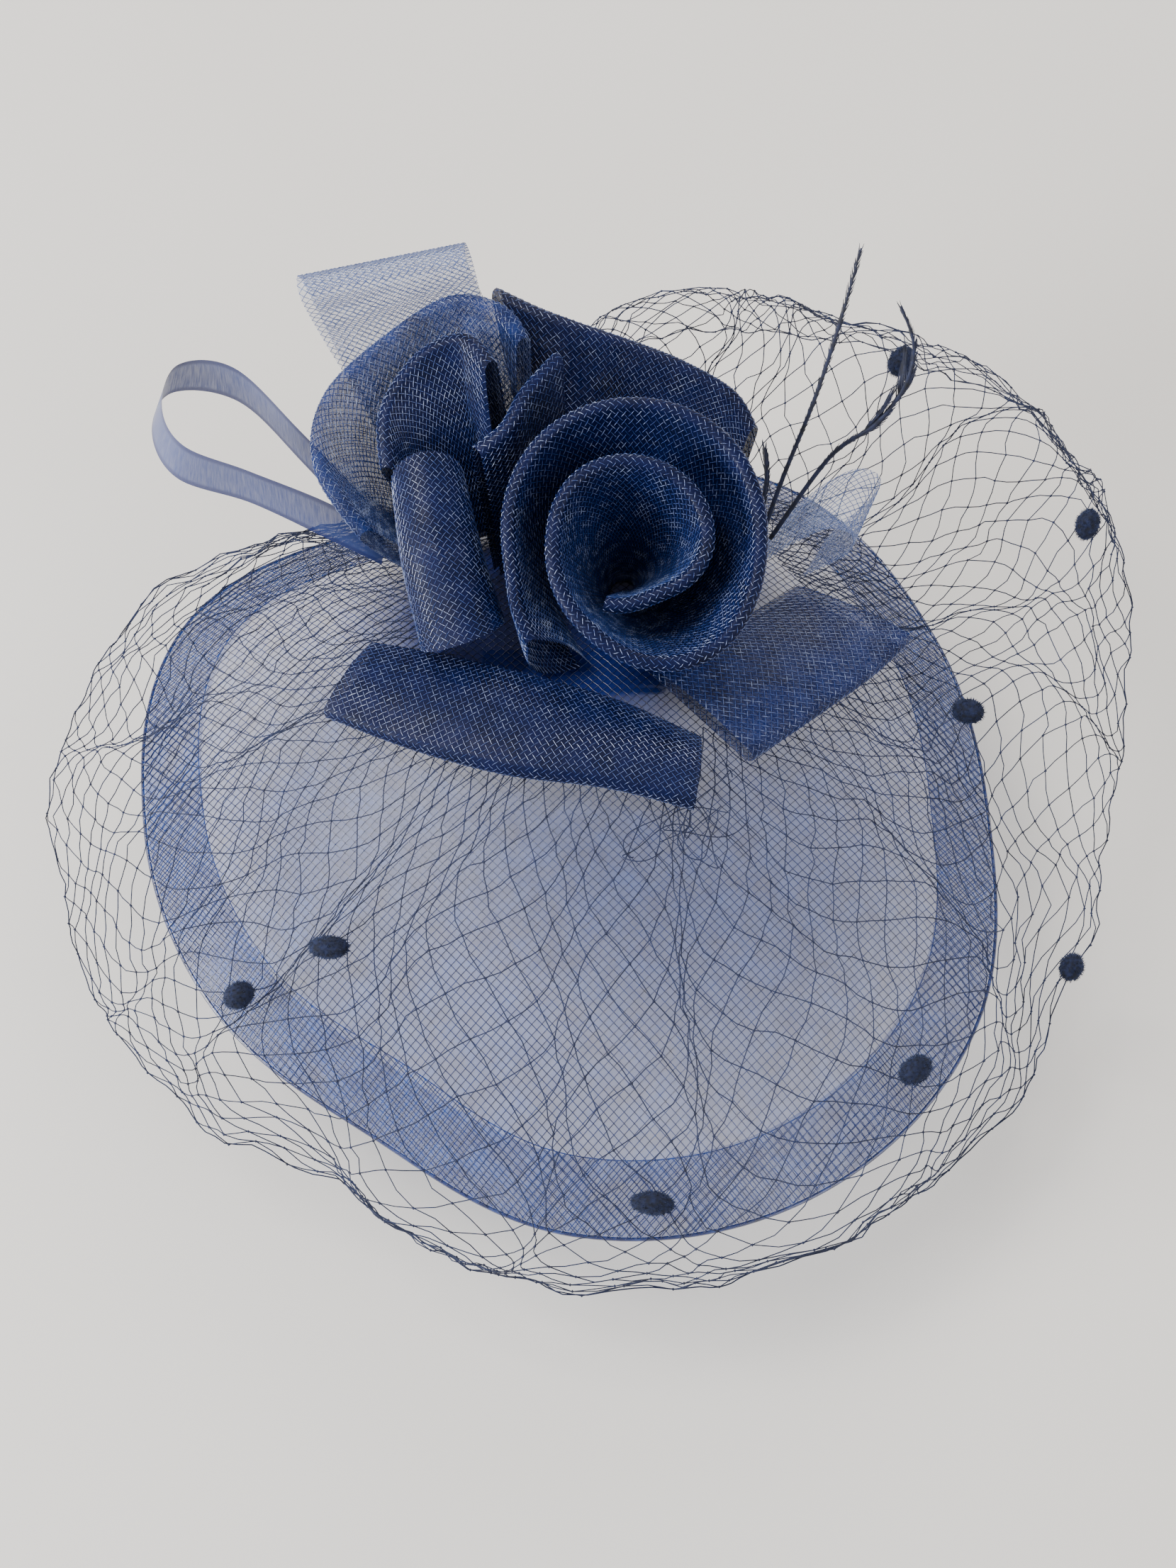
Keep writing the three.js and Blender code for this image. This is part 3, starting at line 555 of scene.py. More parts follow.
def bias_lines(length, width, pitch):
    """Strands at 45 degrees both ways over a strip: for each, places along and across, and +1 or -1
    where it passes over or under the strand that it crosses."""
    step = pitch / math.sqrt(2)
    rows = length / step
    columns = width / step
    lines = []
    for k in range(1, int((rows + columns) / 2) + 1):
        low = max(-k, k - columns)
        high = min(rows - k, k)
        if high - low > 1:
            n = np.concatenate([[low], np.arange(math.ceil(low + EDGE_GAP), high - EDGE_GAP), [high]])
            side = np.where(n == np.round(n), 1 - 2 * ((k + np.round(n)) % 2), 0)
            lines.append(((k + n) * step, (k - n) * step, side))
    for k in range(-int(columns / 2), int(rows / 2) + 1):
        low = max(-k, k)
        high = min(rows - k, k + columns)
        if high - low > 1:
            m = np.concatenate([[low], np.arange(math.ceil(low + EDGE_GAP), high - EDGE_GAP), [high]])
            side = np.where(m == np.round(m), 2 * ((k + np.round(m)) % 2) - 1, 0)
            lines.append(((m + k) * step, (m - k) * step, side))
    return lines


def weave(cloth):
    """The strands of a woven sheet as runs of points and normals."""
    runs = []
    for a, b, side in bias_lines(cloth.along[-1], cloth.across[-1], FOLD_PITCH):
        points, normals = cloth.at(a, b)
        runs.append((points + normals * (CRIMP * side)[:, None], normals))
    return runs


def tubes(runs, radius, sides=3):
    """Closed tubes along runs of points: all their points, their walls and their end caps."""
    points = np.concatenate([p for p, _ in runs])
    normals = np.concatenate([n for _, n in runs])
    ahead = unit(np.concatenate([np.gradient(p, axis=0) for p, _ in runs]))
    beside = unit(np.cross(ahead, normals))
    above = np.cross(beside, ahead)
    thick = np.broadcast_to(np.asarray(radius, float).reshape(-1, 1), (len(points), 1))
    rings = []
    for k in range(sides):
        turn = 2 * math.pi * k / sides + math.pi / 2
        rings.append(points + thick * (math.cos(turn) * beside + math.sin(turn) * above))
    corners = np.stack(rings, 1).reshape(-1, 3)
    counts = np.array([len(p) for p, _ in runs])
    ends = np.cumsum(counts) - 1
    starts = ends - counts + 1
    here = np.setdiff1d(np.arange(len(points)), ends) * sides
    walls = []
    for k in range(sides):
        other = (k + 1) % sides
        walls.append(np.stack([here + k, here + other, here + sides + other, here + sides + k], 1))
    caps = []
    for k in range(1, sides - 1):
        caps.append(np.stack([starts * sides, starts * sides + k + 1, starts * sides + k], 1))
        caps.append(np.stack([ends * sides, ends * sides + k, ends * sides + k + 1], 1))
    return corners, [np.concatenate(walls), np.concatenate(caps)]


def add_mesh(name, points, faces, material, uv=None):
    """A mesh object from points in millimetres and arrays of faces, riding on the part."""
    mesh = bpy.data.meshes.new(name)
    loops = np.concatenate([f.ravel() for f in faces]).astype(np.int32)
    sizes = np.concatenate([np.full(len(f), f.shape[1]) for f in faces])
    starts = np.concatenate([[0], np.cumsum(sizes)[:-1]]).astype(np.int32)
    mesh.vertices.add(len(points))
    mesh.vertices.foreach_set("co", to_part(points).astype(np.float32).ravel())
    mesh.loops.add(len(loops))
    mesh.loops.foreach_set("vertex_index", loops)
    mesh.polygons.add(len(sizes))
    mesh.polygons.foreach_set("loop_start", starts)
    mesh.polygons.foreach_set("use_smooth", np.ones(len(sizes), bool))
    mesh.update(calc_edges=True)
    if uv is not None:
        layer = mesh.uv_layers.new(name="cloth")
        layer.data.foreach_set("uv", uv[loops].astype(np.float32).ravel())
    mesh.validate()
    mesh.materials.append(material)
    piece = bpy.data.objects.new(name, mesh)
    bpy.context.scene.collection.objects.link(piece)
    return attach(piece, "root")


def grid_faces(rows, columns):
    corner = (np.arange(rows - 1)[:, None] * columns + np.arange(columns - 1)).ravel()
    return np.stack([corner, corner + columns, corner + columns + 1, corner + 1], 1)


def ring_faces(rings, spokes):
    """Faces between rings of points, each closed on itself."""
    corner = np.arange((rings - 1) * spokes)
    ahead = np.where((corner + 1) % spokes, corner + 1, corner + 1 - spokes)
    return np.stack([corner, corner + spokes, ahead + spokes, ahead], 1)


def add_sheet(name, cloth, material):
    """The sheet itself, with the lengths along and across in metres as its texture coordinates."""
    rows, columns = cloth.grid.shape[:2]
    uv = np.stack(np.meshgrid(cloth.along, cloth.across, indexing="ij"), -1).reshape(-1, 2) * MM
    return add_mesh(name, cloth.grid.reshape(-1, 3), [grid_faces(rows, columns)], material, uv)


def add_crinoline(name, nodes, cloth, film, strand):
    """A piece of crinoline: the faint film of the cloth and the strands woven through it."""
    body = add_sheet(name + "_cloth", cloth, film)
    points, faces = tubes(weave(cloth), FOLD_STRAND)
    strands = add_mesh(name + "_weave", points, faces, strand)
    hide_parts(*nodes)
    flat = (cloth.across[-1] * MM, cloth.along[-1] * MM)
    area = min(cloth.area() * MM * MM, flat[0] * flat[1])


def folded_grid(section, steps, foot_half):
    """Points of a strip folded along its length: up the front, round the lip, down the back."""
    u = np.linspace(0, 1, steps)
    foot, crest, puff, roll = section(u)
    nudge = 0.01
    foot_b, crest_b, _, _ = section(np.maximum(u - nudge, 0))
    foot_a, crest_a, _, _ = section(np.minimum(u + nudge, 1))
    rise = unit(crest - foot)
    out = unit(np.cross(crest_a + foot_a - crest_b - foot_b, rise))
    crown = crest - roll[:, None] * rise
    lines = []

    def layer(t, side):
        swell = puff * (1 if side > 0 else BACK_PUFF)
        half = foot_half * (1 - t) + roll * t + swell * 4 * t * (1 - t)
        lines.append(foot + (crown - foot) * t + out * (side * half)[:, None])

    for t in np.linspace(0, 1, LAYER_POINTS):
        layer(t, 1)
    for turn in np.radians(np.linspace(0, 180, LIP_POINTS)[1:-1]):
        lines.append(crown + roll[:, None] * (out * math.cos(turn) + rise * math.sin(turn)))
    for t in np.linspace(1, 0, LAYER_POINTS):
        layer(t, -1)
    return np.stack(lines, 1)


def fold_section(rows, lip):
    """Foot, crest, puff and lip radius along a fold; a table with an eighth column gives its own lip."""

    def section(u):
        row = blend(rows, u)
        roll = row[:, 7] if row.shape[1] > 7 else np.full(len(u), lip)
        return over_brim(*row[:, :3].T), row[:, 3:6], row[:, 6], roll

    return section


def rose_section(u):
    """Foot, crest, puff and lip radius along the strip that is rolled into the rose."""
    lean = math.radians(ROSE_LEAN)
    axis = np.array([0, -math.sin(lean), math.cos(lean)])
    ahead = np.array([0, math.cos(lean), math.sin(lean)])
    turn, radius, rise, foot_turn, foot, lift, puff = blend(ROSE_TURNS, u).T
    turn = np.radians(turn)
    foot_turn = np.radians(foot_turn)
    lip = ROSE_MIDDLE + rise[:, None] * axis + (radius * np.sin(turn))[:, None] * ahead
    lip[:, 0] += radius * np.cos(turn)
    foot_x = ROSE_FOOT[0] + foot * np.cos(foot_turn)
    foot_y = ROSE_FOOT[1] + foot * np.sin(foot_turn)
    return over_brim(foot_x, foot_y, lift), lip, puff, np.full(len(u), ROSE_LIP)


def ribbon_grid(rows, steps, strips):
    row = blend(rows, np.linspace(0, 1, steps))
    side = np.linspace(-1, 1, strips)[None, :, None]
    return row[:, None, :3] + side * row[:, None, 3:6]


def veil_point(around, out):
    """Points of the veil's middle surface."""
    ray = blend_round(VEIL_RAYS, around, winding=0)
    turn = np.radians(ray[..., 0])

    def reach(column):
        x = ROSE_FOOT[0] + ray[..., column] * np.cos(turn)
        return x, ROSE_FOOT[1] + ray[..., column] * np.sin(turn)

    stops = [over_brim(*reach(1), VEIL_LIFT), over_brim(*reach(2), VEIL_LIFT)]
    stops.append(np.stack([*reach(3), ray[..., 4]], -1))
    stops.append(np.stack([*reach(5), ray[..., 6]], -1))
    stops = np.stack(stops)
    place = np.clip(out, 0, 1) * VEIL_SPANS
    first = np.minimum(np.floor(place).astype(int), VEIL_SPANS - 1)
    near = []
    for k in (-1, 0, 1, 2):
        pick = np.clip(first + k, 0, VEIL_SPANS)[None, ..., None]
        near.append(np.take_along_axis(stops, np.broadcast_to(pick, (1, *stops.shape[1:])), 0)[0])
    points = cubic(*near, (place - first)[..., None])
    x, y = points[..., 0], points[..., 1]
    lowest = np.where(in_brim(x, y), brim_height(x, y) + BRIM_WALL / 2 + VEIL_LIFT, -np.inf)
    points[..., 2] = np.maximum(points[..., 2], lowest)
    return points


def veil_normal(around, out):
    step = 0.004
    along = veil_point(around + step, out) - veil_point(around - step, out)
    down = veil_point(around, np.minimum(out + step, 1)) - veil_point(around, np.maximum(out - step, 0))
    return unit(np.cross(down, along))


class Nodes:
    """A material built up node by node."""

    def __init__(self, name):
        self.material = bpy.data.materials.new(name)
        self.material.use_nodes = True
        self.tree = self.material.node_tree
        self.shader = self.tree.nodes["Principled BSDF"]

    def add(self, kind, **settings):
        node = self.tree.nodes.new(kind)
        for key, value in settings.items():
            if hasattr(node, key):
                setattr(node, key, value)
            else:
                node.inputs[key].default_value = value
        return node

    def link(self, out, into):
        self.tree.links.new(out, into)

    def set(self, **values):
        for key, value in values.items():
            self.shader.inputs[key.replace("_", " ")].default_value = value

    def noise(self, scale, detail=3.0):
        place = self.add("ShaderNodeTexCoord")
        noise = self.add("ShaderNodeTexNoise", Scale=scale, Detail=detail)
        self.link(place.outputs["Object"], noise.inputs["Vector"])
        return noise.outputs["Fac"]

    def ramp(self, factor, *stops):
        """A colour ramp of (place, sRGB colour) stops."""
        ramp = self.add("ShaderNodeValToRGB")
        elements = ramp.color_ramp.elements
        while len(elements) < len(stops):
            elements.new(0.5)
        for element, (place, colour) in zip(elements, stops):
            element.position = place
            element.color = linear(colour)
        self.link(factor, ramp.inputs["Fac"])
        return ramp.outputs["Color"]

    def span(self, value, low, high):
        """A value from 0.3 to 0.7 spread from low to high."""
        span = self.add("ShaderNodeMapRange")
        span.inputs["From Min"].default_value = 0.3
        span.inputs["From Max"].default_value = 0.7
        span.inputs["To Min"].default_value = low
        span.inputs["To Max"].default_value = high
        self.link(value, span.inputs["Value"])
        return span.outputs["Result"]

    def feed(self, socket, output):
        self.link(output, self.shader.inputs[socket])


def strand_material(name, dark, middle, light):
    """Smooth nylon strands, a little uneven in colour and gloss; a silver lightest colour is a painted
    glint.
    """
    made = Nodes(name)
    made.feed("Base Color", made.ramp(made.noise(400), (0.25, dark), (0.5, middle), (0.8, light)))
    made.feed("Roughness", made.span(made.noise(260), 0.14, 0.26))
    made.set(Specular_IOR_Level=1.0, Coat_Weight=1.0, Coat_Roughness=0.1)
    return made.material


def sheer_nodes(name, dark, light, thin, dense, gloss):
    """The faint film between strands: its nodes, and the outputs for its uneven colour and body."""
    made = Nodes(name)
    colour = made.ramp(made.noise(160), (0.3, dark), (0.7, light))
    body = made.span(made.noise(260), thin, dense)
    made.feed("Roughness", made.span(made.noise(300), 0.4, 0.6))
    made.set(Specular_IOR_Level=gloss)
    return made, colour, body


def sheer_material(name, dark, light, thin, dense, gloss=SHEER_GLOSS):
    made, colour, body = sheer_nodes(name, dark, light, thin, dense, gloss)
    made.feed("Base Color", colour)
    made.feed("Alpha", body)
    return made.material


def brim_material(dark, light, thin, dense):
    """Sheer cloth, several layers thick where the feet of the flower are sewn through it, and darker there
    with painted shade of the recess under the rose.
    """
    made, colour, body = sheer_nodes("crinoline_brim", dark, light, thin, dense, SHEER_GLOSS)
    place = made.add("ShaderNodeTexCoord")
    spot = made.add("ShaderNodeMapping", vector_type="TEXTURE")
    spot.inputs["Location"].default_value = to_part((*SEWN_SHADE_MIDDLE, SEWN_SHADE_HEIGHT))
    spot.inputs["Scale"].default_value = (SEWN_SHADE_LONG * MM, SEWN_SHADE_WIDE * MM, 1)
    reach = made.add("ShaderNodeVectorMath", operation="LENGTH")
    sewn_shade = made.add("ShaderNodeMapRange")
    sewn_shade.inputs["From Min"].default_value = SEWN_SHADE_BEGINS
    sewn_shade.inputs["From Max"].default_value = SEWN_SHADE_FULL
    made.link(place.outputs["Object"], spot.inputs["Vector"])
    made.link(spot.outputs["Vector"], reach.inputs[0])
    made.link(reach.outputs["Value"], sewn_shade.inputs["Value"])
    # Painted shade: in the ellipse under the rose the colour turns to the dark sewn blue.
    shade = made.add("ShaderNodeMixRGB", Color2=linear(SEWN_SHADE))
    made.link(sewn_shade.outputs["Result"], shade.inputs["Fac"])
    made.link(colour, shade.inputs["Color1"])
    made.feed("Base Color", shade.outputs["Color"])
    layers = made.add("ShaderNodeMix", data_type="FLOAT")
    layers.inputs["B"].default_value = SEWN_SHADE_BODY
    made.link(sewn_shade.outputs["Result"], layers.inputs["Factor"])
    made.link(body, layers.inputs["A"])
    made.feed("Alpha", layers.outputs["Result"])
    return made.material


def organza_material(width):
    """Fine ribbon: threads across it, and dense woven edges. Its texture runs along and across."""
    edge_full, edge_gone = 0.08, 0.16
    thread_grain = (3200, 240, 1)
    thin, dense, edge_body = 0.82, 0.94, 0.93
    made = Nodes("organza")
    place = made.add("ShaderNodeUVMap", uv_map="cloth")
    parts = made.add("ShaderNodeSeparateXYZ")
    made.link(place.outputs["UV"], parts.inputs["Vector"])
    edge = made.add("ShaderNodeMath", operation="PINGPONG")
    edge.inputs[1].default_value = width * MM / 2
    made.link(parts.outputs["Y"], edge.inputs[0])
    inward = made.add("ShaderNodeMapRange")
    inward.inputs["From Min"].default_value = edge_full * width * MM
    inward.inputs["From Max"].default_value = edge_gone * width * MM
    made.link(edge.outputs["Value"], inward.inputs["Value"])
    made.feed("Base Color", made.ramp(inward.outputs["Result"], (0.0, ORGANZA_EDGE), (1.0, ORGANZA)))
    stretch = made.add("ShaderNodeMapping")
    stretch.inputs["Scale"].default_value = thread_grain
    threads = made.add("ShaderNodeTexNoise", Scale=1.0, Detail=2.0)
    made.link(place.outputs["UV"], stretch.inputs["Vector"])
    made.link(stretch.outputs["Vector"], threads.inputs["Vector"])
    body = made.span(threads.outputs["Fac"], thin, dense)
    solid = made.add("ShaderNodeMix", data_type="FLOAT")
    solid.inputs["A"].default_value = edge_body
    made.link(inward.outputs["Result"], solid.inputs["Factor"])
    made.link(body, solid.inputs["B"])
    made.feed("Alpha", solid.outputs["Result"])
    made.set(Roughness=0.42, Sheen_Weight=0.3)
    return made.material


def thread_material():
    made = Nodes("net_thread")
    made.feed("Base Color", made.ramp(made.noise(150), (0.3, INK), (0.7, INK_LIGHT)))
    made.feed("Roughness", made.span(made.noise(400), 0.45, 0.7))
    return made.material


def chenille_material():
    made = Nodes("chenille")
    made.feed("Base Color", made.ramp(made.noise(900), (0.35, PILE), (0.7, PILE_LIGHT)))
    made.set(Roughness=0.9, Sheen_Weight=0.6, Sheen_Roughness=0.4, Sheen_Tint=linear(PILE_SHEEN))
    return made.material


def feather_material():
    made = Nodes("feather")
    made.feed("Base Color", made.ramp(made.noise(500), (0.3, FEATHER), (0.7, FEATHER_LIGHT)))
    made.feed("Roughness", made.span(made.noise(700), 0.5, 0.75))
    made.set(Sheen_Weight=0.2)
    return made.material


def clip_material():
    """Steel brushed along the clip."""
    made = Nodes("clip_steel")
    place = made.add("ShaderNodeTexCoord")
    spread = made.add("ShaderNodeMapping")
    spread.inputs["Scale"].default_value = (40, 3000, 3000)
    noise = made.add("ShaderNodeTexNoise", Scale=1.0, Detail=4.0)
    made.link(place.outputs["Object"], spread.inputs["Vector"])
    made.link(spread.outputs["Vector"], noise.inputs["Vector"])
    brushed = noise.outputs["Fac"]
    made.feed("Base Color", made.ramp(brushed, (0.3, STEEL), (0.7, STEEL_LIGHT)))
    made.feed("Roughness", made.span(brushed, 0.25, 0.45))
    made.set(Metallic=1.0)
    return made.material


def floor_material():
    made = Nodes("floor")
    made.feed("Base Color", made.ramp(made.noise(3), (0.3, FLOOR), (0.7, FLOOR_LIGHT)))
    made.feed("Roughness", made.span(made.noise(40), 0.75, 0.9))
    return made.material


def rim_cut(inside, a, b):
    """The place between a, which is inside, and b, which is not, where the edge runs."""
    halvings = 12
    for _ in range(halvings):
        middle = (a + b) / 2
        if inside(*middle):
            a = middle
        else:
            b = middle
    return a


def cut_lines(inside, reach, pitch):
    """Bias strands over a square, cut to where inside is true."""
    kept = []
    for a, b, side in bias_lines(2 * reach, 2 * reach, pitch):
        line = np.stack([a - reach, b - reach], 1)
        keep = inside(line[:, 0], line[:, 1])
        edges = np.flatnonzero(np.diff(np.concatenate([[0], keep.astype(int), [0]])))
        for start, stop in zip(edges[::2], edges[1::2]):
            run = line[start:stop]
            over = side[start:stop]
            if start > 0:
                run = np.concatenate([[rim_cut(inside, line[start], line[start - 1])], run])
                over = np.concatenate([[0], over])
            if stop < len(line):
                run = np.concatenate([run, [rim_cut(inside, line[stop - 1], line[stop])]])
                over = np.concatenate([over, [0]])
            if len(run) > 2:
                kept.append((run, over))
    return kept


def brim_surface(x, y, lift):
    """Points and normals of the brim, lifted off its middle surface."""
    step = 0.2
    points = np.stack([x, y, brim_height(x, y)], -1)
    slope_x = (brim_height(x + step, y) - brim_height(x - step, y)) / (2 * step)
    slope_y = (brim_height(x, y + step) - brim_height(x, y - step)) / (2 * step)
    normals = unit(np.stack([-slope_x, -slope_y, np.ones_like(x)], -1))
    return points + normals * lift, normals


def brim_runs(inside, lift, pitch):
    runs = []
    for line, over in cut_lines(inside, BRIM_REACH, pitch):
        points, normals = brim_surface(line[:, 0], line[:, 1], lift)
        runs.append((points + normals * (CRIMP * over)[:, None], normals))
    return runs


def in_hem(x, y):
    short = rim_radius(x, y) - np.hypot(x, y)
    return (short > HEM_CLEAR) & (short < HEM_WIDTH)


def add_disc(name, shares, lift, material):
    """Rings of the brim at these shares of its radius."""
    turn = np.linspace(0, 2 * math.pi, BRIM_SPOKES, endpoint=False)
    reach = rim_radius(np.cos(turn), np.sin(turn))
    x = shares[:, None] * reach * np.cos(turn)
    y = shares[:, None] * reach * np.sin(turn)
    points, _ = brim_surface(x, y, lift)
    return add_mesh(name, points.reshape(-1, 3), [ring_faces(len(shares), BRIM_SPOKES)], material)


def add_brim_edges(material):
    """The cord along the rim and the thread along the inner edge of the hem."""
    turn = np.linspace(0, 2 * math.pi, EDGE_STEPS)
    reach = rim_radius(np.cos(turn), np.sin(turn))
    rim = brim_surface(reach * np.cos(turn), reach * np.sin(turn), RIM_LIFT)
    inner = reach - HEM_WIDTH
    hem_line = brim_surface(inner * np.cos(turn), inner * np.sin(turn), HEM_LINE_LIFT)
    thick = np.repeat([RIM_CORD, HEM_LINE], EDGE_STEPS)
    points, faces = tubes([rim, hem_line], thick, EDGE_SIDES)
    return add_mesh("brim_edge", points, faces, material)


def add_brim(sheet, strands, hem_sheet):
    """The domed disc, and the hem folded under it."""
    turn = np.linspace(0, 2 * math.pi, BRIM_SPOKES, endpoint=False)
    mean_radius = rim_radius(np.cos(turn), np.sin(turn)).mean()
    body = add_disc("brim_cloth", BRIM_RINGS, 0, sheet)
    points, faces = tubes(brim_runs(in_brim, WEAVE_LIFT, PITCH), STRAND)
    weave_piece = add_mesh("brim_weave", points, faces, strands)
    points, faces = tubes(brim_runs(in_hem, HEM_WEAVE_LIFT, PITCH * HEM_PITCH), STRAND)
    hem_weave = add_mesh("brim_hem_weave", points, faces, strands)
    hem_rings = np.linspace(1 - HEM_WIDTH / mean_radius, HEM_OUTER, HEM_RINGS)
    hem_body = add_disc("brim_hem_cloth", hem_rings, HEM_CLOTH_LIFT, hem_sheet)
    edges = add_brim_edges(strands)
    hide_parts("brim")


def add_veil(material):
    """The fine net: two sets of threads that cross on the veil, with a knot at each crossing."""
    levels = np.linspace(0, 1, NET_LEVELS * 2 + 1)
    runs = []
    for way in (1, -1):
        for k in range(NET_COLUMNS):
            around = (k + way * levels * NET_LEVELS / 2) / NET_COLUMNS
            runs.append(net_place(around, levels))
    runs += tangle_runs()
    points, faces = tubes(runs, THREAD)
    border = net_place(np.linspace(0, 1, BORDER_STEPS), np.ones(BORDER_STEPS))
    edge, edge_faces = tubes([border], THREAD * BORDER_SHARE)
    knots, knot_faces = net_knots()
    corners = np.concatenate([points, edge, knots])
    shift = len(points)
    faces = faces + [f + shift for f in edge_faces] + [knot_faces + shift + len(edge)]
    net = add_mesh("veil_net", corners, faces, material)
    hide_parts("veil")


def tangle_runs():
    """Slack meshes of the net, bunched up at the mouth of the sash."""
    rng = np.random.default_rng(TANGLE_SEED)
    turn = np.linspace(0, TANGLE_SWEEP, TANGLE_POINTS)
    runs = []
    for _ in range(TANGLE_LOOPS):
        middle = TANGLE_MIDDLE + rng.normal(size=2) * TANGLE_SPREAD
        long = rng.uniform(*TANGLE_LONG)
        wide = rng.uniform(*TANGLE_WIDE)
        lean, start, wave = rng.uniform(0, 2 * math.pi, 3)
        along = long * np.cos(turn + start)
        aside = wide * np.sin(turn + start) + TANGLE_KINK * np.sin(3 * turn + wave)
        x = middle[0] + along * math.cos(lean) - aside * math.sin(lean)
        y = middle[1] + along * math.sin(lean) + aside * math.cos(lean)
        points = over_brim(x, y, TANGLE_LIFT + TANGLE_WAVE * np.sin(turn + wave))
        runs.append((points, np.repeat([[0, 0, 1.0]], len(turn), 0)))
    return runs


def net_place(around, out):
    """A place on the net, with the small folds and slack that the veil has."""
    lap = 2 * math.pi
    fold = sum(deep * np.sin(lap * folds * around + twist * out) for deep, folds, twist in NET_FOLDS)
    spread = np.clip(out * VEIL_SPANS, 0, 1)
    points = veil_point(around + fold * spread, out)
    normals = veil_normal(around, out)
    slack = sum(ripple(points, size, seed) * height for size, seed, height in NET_SLACK)
    points = points + normals * (np.maximum(slack, SLACK_LOWEST) * spread)[..., None]
    points = points + np.stack([ripple(points, UNEVEN_SIZE, seed) for seed in UNEVEN_SEEDS], -1) * UNEVEN
    sway = np.stack([ripple(points, SWAY_SIZE, seed) for seed in SWAY_SEEDS], -1) * SWAY
    points[..., :2] += sway * spread[..., None]
    return points, normals


def net_knots():
    """A small eight-sided knot at each crossing of the net."""
    level, column = np.meshgrid(np.arange(2, NET_LEVELS + 1), np.arange(NET_COLUMNS), indexing="ij")
    out = (level / NET_LEVELS).ravel()
    around = ((column + 0.5 * (level % 2)) / NET_COLUMNS).ravel()
    centres, _ = net_place(around, out)
    way = np.array([(1, 0, 0), (-1, 0, 0), (0, 1, 0), (0, -1, 0), (0, 0, 1), (0, 0, -1)], float)
    points = (centres[:, None] + way * KNOT).reshape(-1, 3)
    sides = [(0, 2, 4), (2, 1, 4), (1, 3, 4), (3, 0, 4), (2, 0, 5), (1, 2, 5), (3, 1, 5), (0, 3, 5)]
    faces = (np.arange(len(centres))[:, None, None] * 6 + np.array(sides)).reshape(-1, 3)
    return points, faces


def add_dots(material):
    """Chenille dots: a rounded core covered with short pile."""
    for number, (around, out, long, wide, heading) in enumerate(VEIL_DOTS, 1):
        around = np.array([around])
        out = np.array([out])
        normal = veil_normal(around, out)[0]
        east = unit(np.array([1.0, 0, 0]) - normal * normal[0])
        north = np.cross(normal, east)
        turn = math.radians(heading)
        ahead = east * math.cos(turn) + north * math.sin(turn)
        beside = np.cross(normal, ahead)
        middle = veil_point(around, out)[0] + normal * (0.5 * (VEIL_WALL + wide) + DOT_GAP)
        basis = np.stack([ahead * long / 2, beside * wide / 2, normal * wide / 2])
        points, faces = dot_shape(np.random.default_rng(DOT_SEED + number))
        name = f"veil_dot_{number:02d}"
        dot = add_mesh(name + "_pile", middle + points @ basis, faces, material)
        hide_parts(name)


def dot_shape(rng):
    """A dot of radius about 1: the core, then pile as thin pyramids."""
    tilt = np.linspace(DOT_POLE, math.pi - DOT_POLE, DOT_RINGS)[:, None]
    turn = np.linspace(0, 2 * math.pi, DOT_SPOKES, endpoint=False)
    along = np.cos(tilt) * np.ones(DOT_SPOKES)
    way = np.stack([along, np.sin(tilt) * np.cos(turn), np.sin(tilt) * np.sin(turn)], -1)
    core = (way * (DOT_CORE + DOT_ROUGH * rng.random((DOT_RINGS, DOT_SPOKES, 1)))).reshape(-1, 3)
    faces = [ring_faces(DOT_RINGS, DOT_SPOKES)[:, [0, 3, 2, 1]]]
    faces.append(np.arange(DOT_SPOKES)[::-1][None])
    faces.append((np.arange(DOT_SPOKES) + (DOT_RINGS - 1) * DOT_SPOKES)[None])
    root_way = unit(rng.normal(size=(DOT_HAIRS, 3)))
    lean = unit(root_way + HAIR_LEAN * rng.normal(size=(DOT_HAIRS, 3)))
    across = unit(np.cross(lean, rng.normal(size=(DOT_HAIRS, 3))))
    other = np.cross(lean, across)
    root = root_way * HAIR_ROOT
    tip = root + lean * rng.uniform(*HAIR_LONG, (DOT_HAIRS, 1))
    base = [root + HAIR_THICK * (a * across + b * other) for a, b in HAIR_CORNERS]
    pile = np.stack([*base, tip], 1).reshape(-1, 3)
    first = np.arange(DOT_HAIRS)[:, None] * 4 + len(core)
    for side in ((0, 1, 3), (1, 2, 3), (2, 0, 3), (0, 2, 1)):
        faces.append(first + np.array(side))
    return np.concatenate([core, pile]), faces


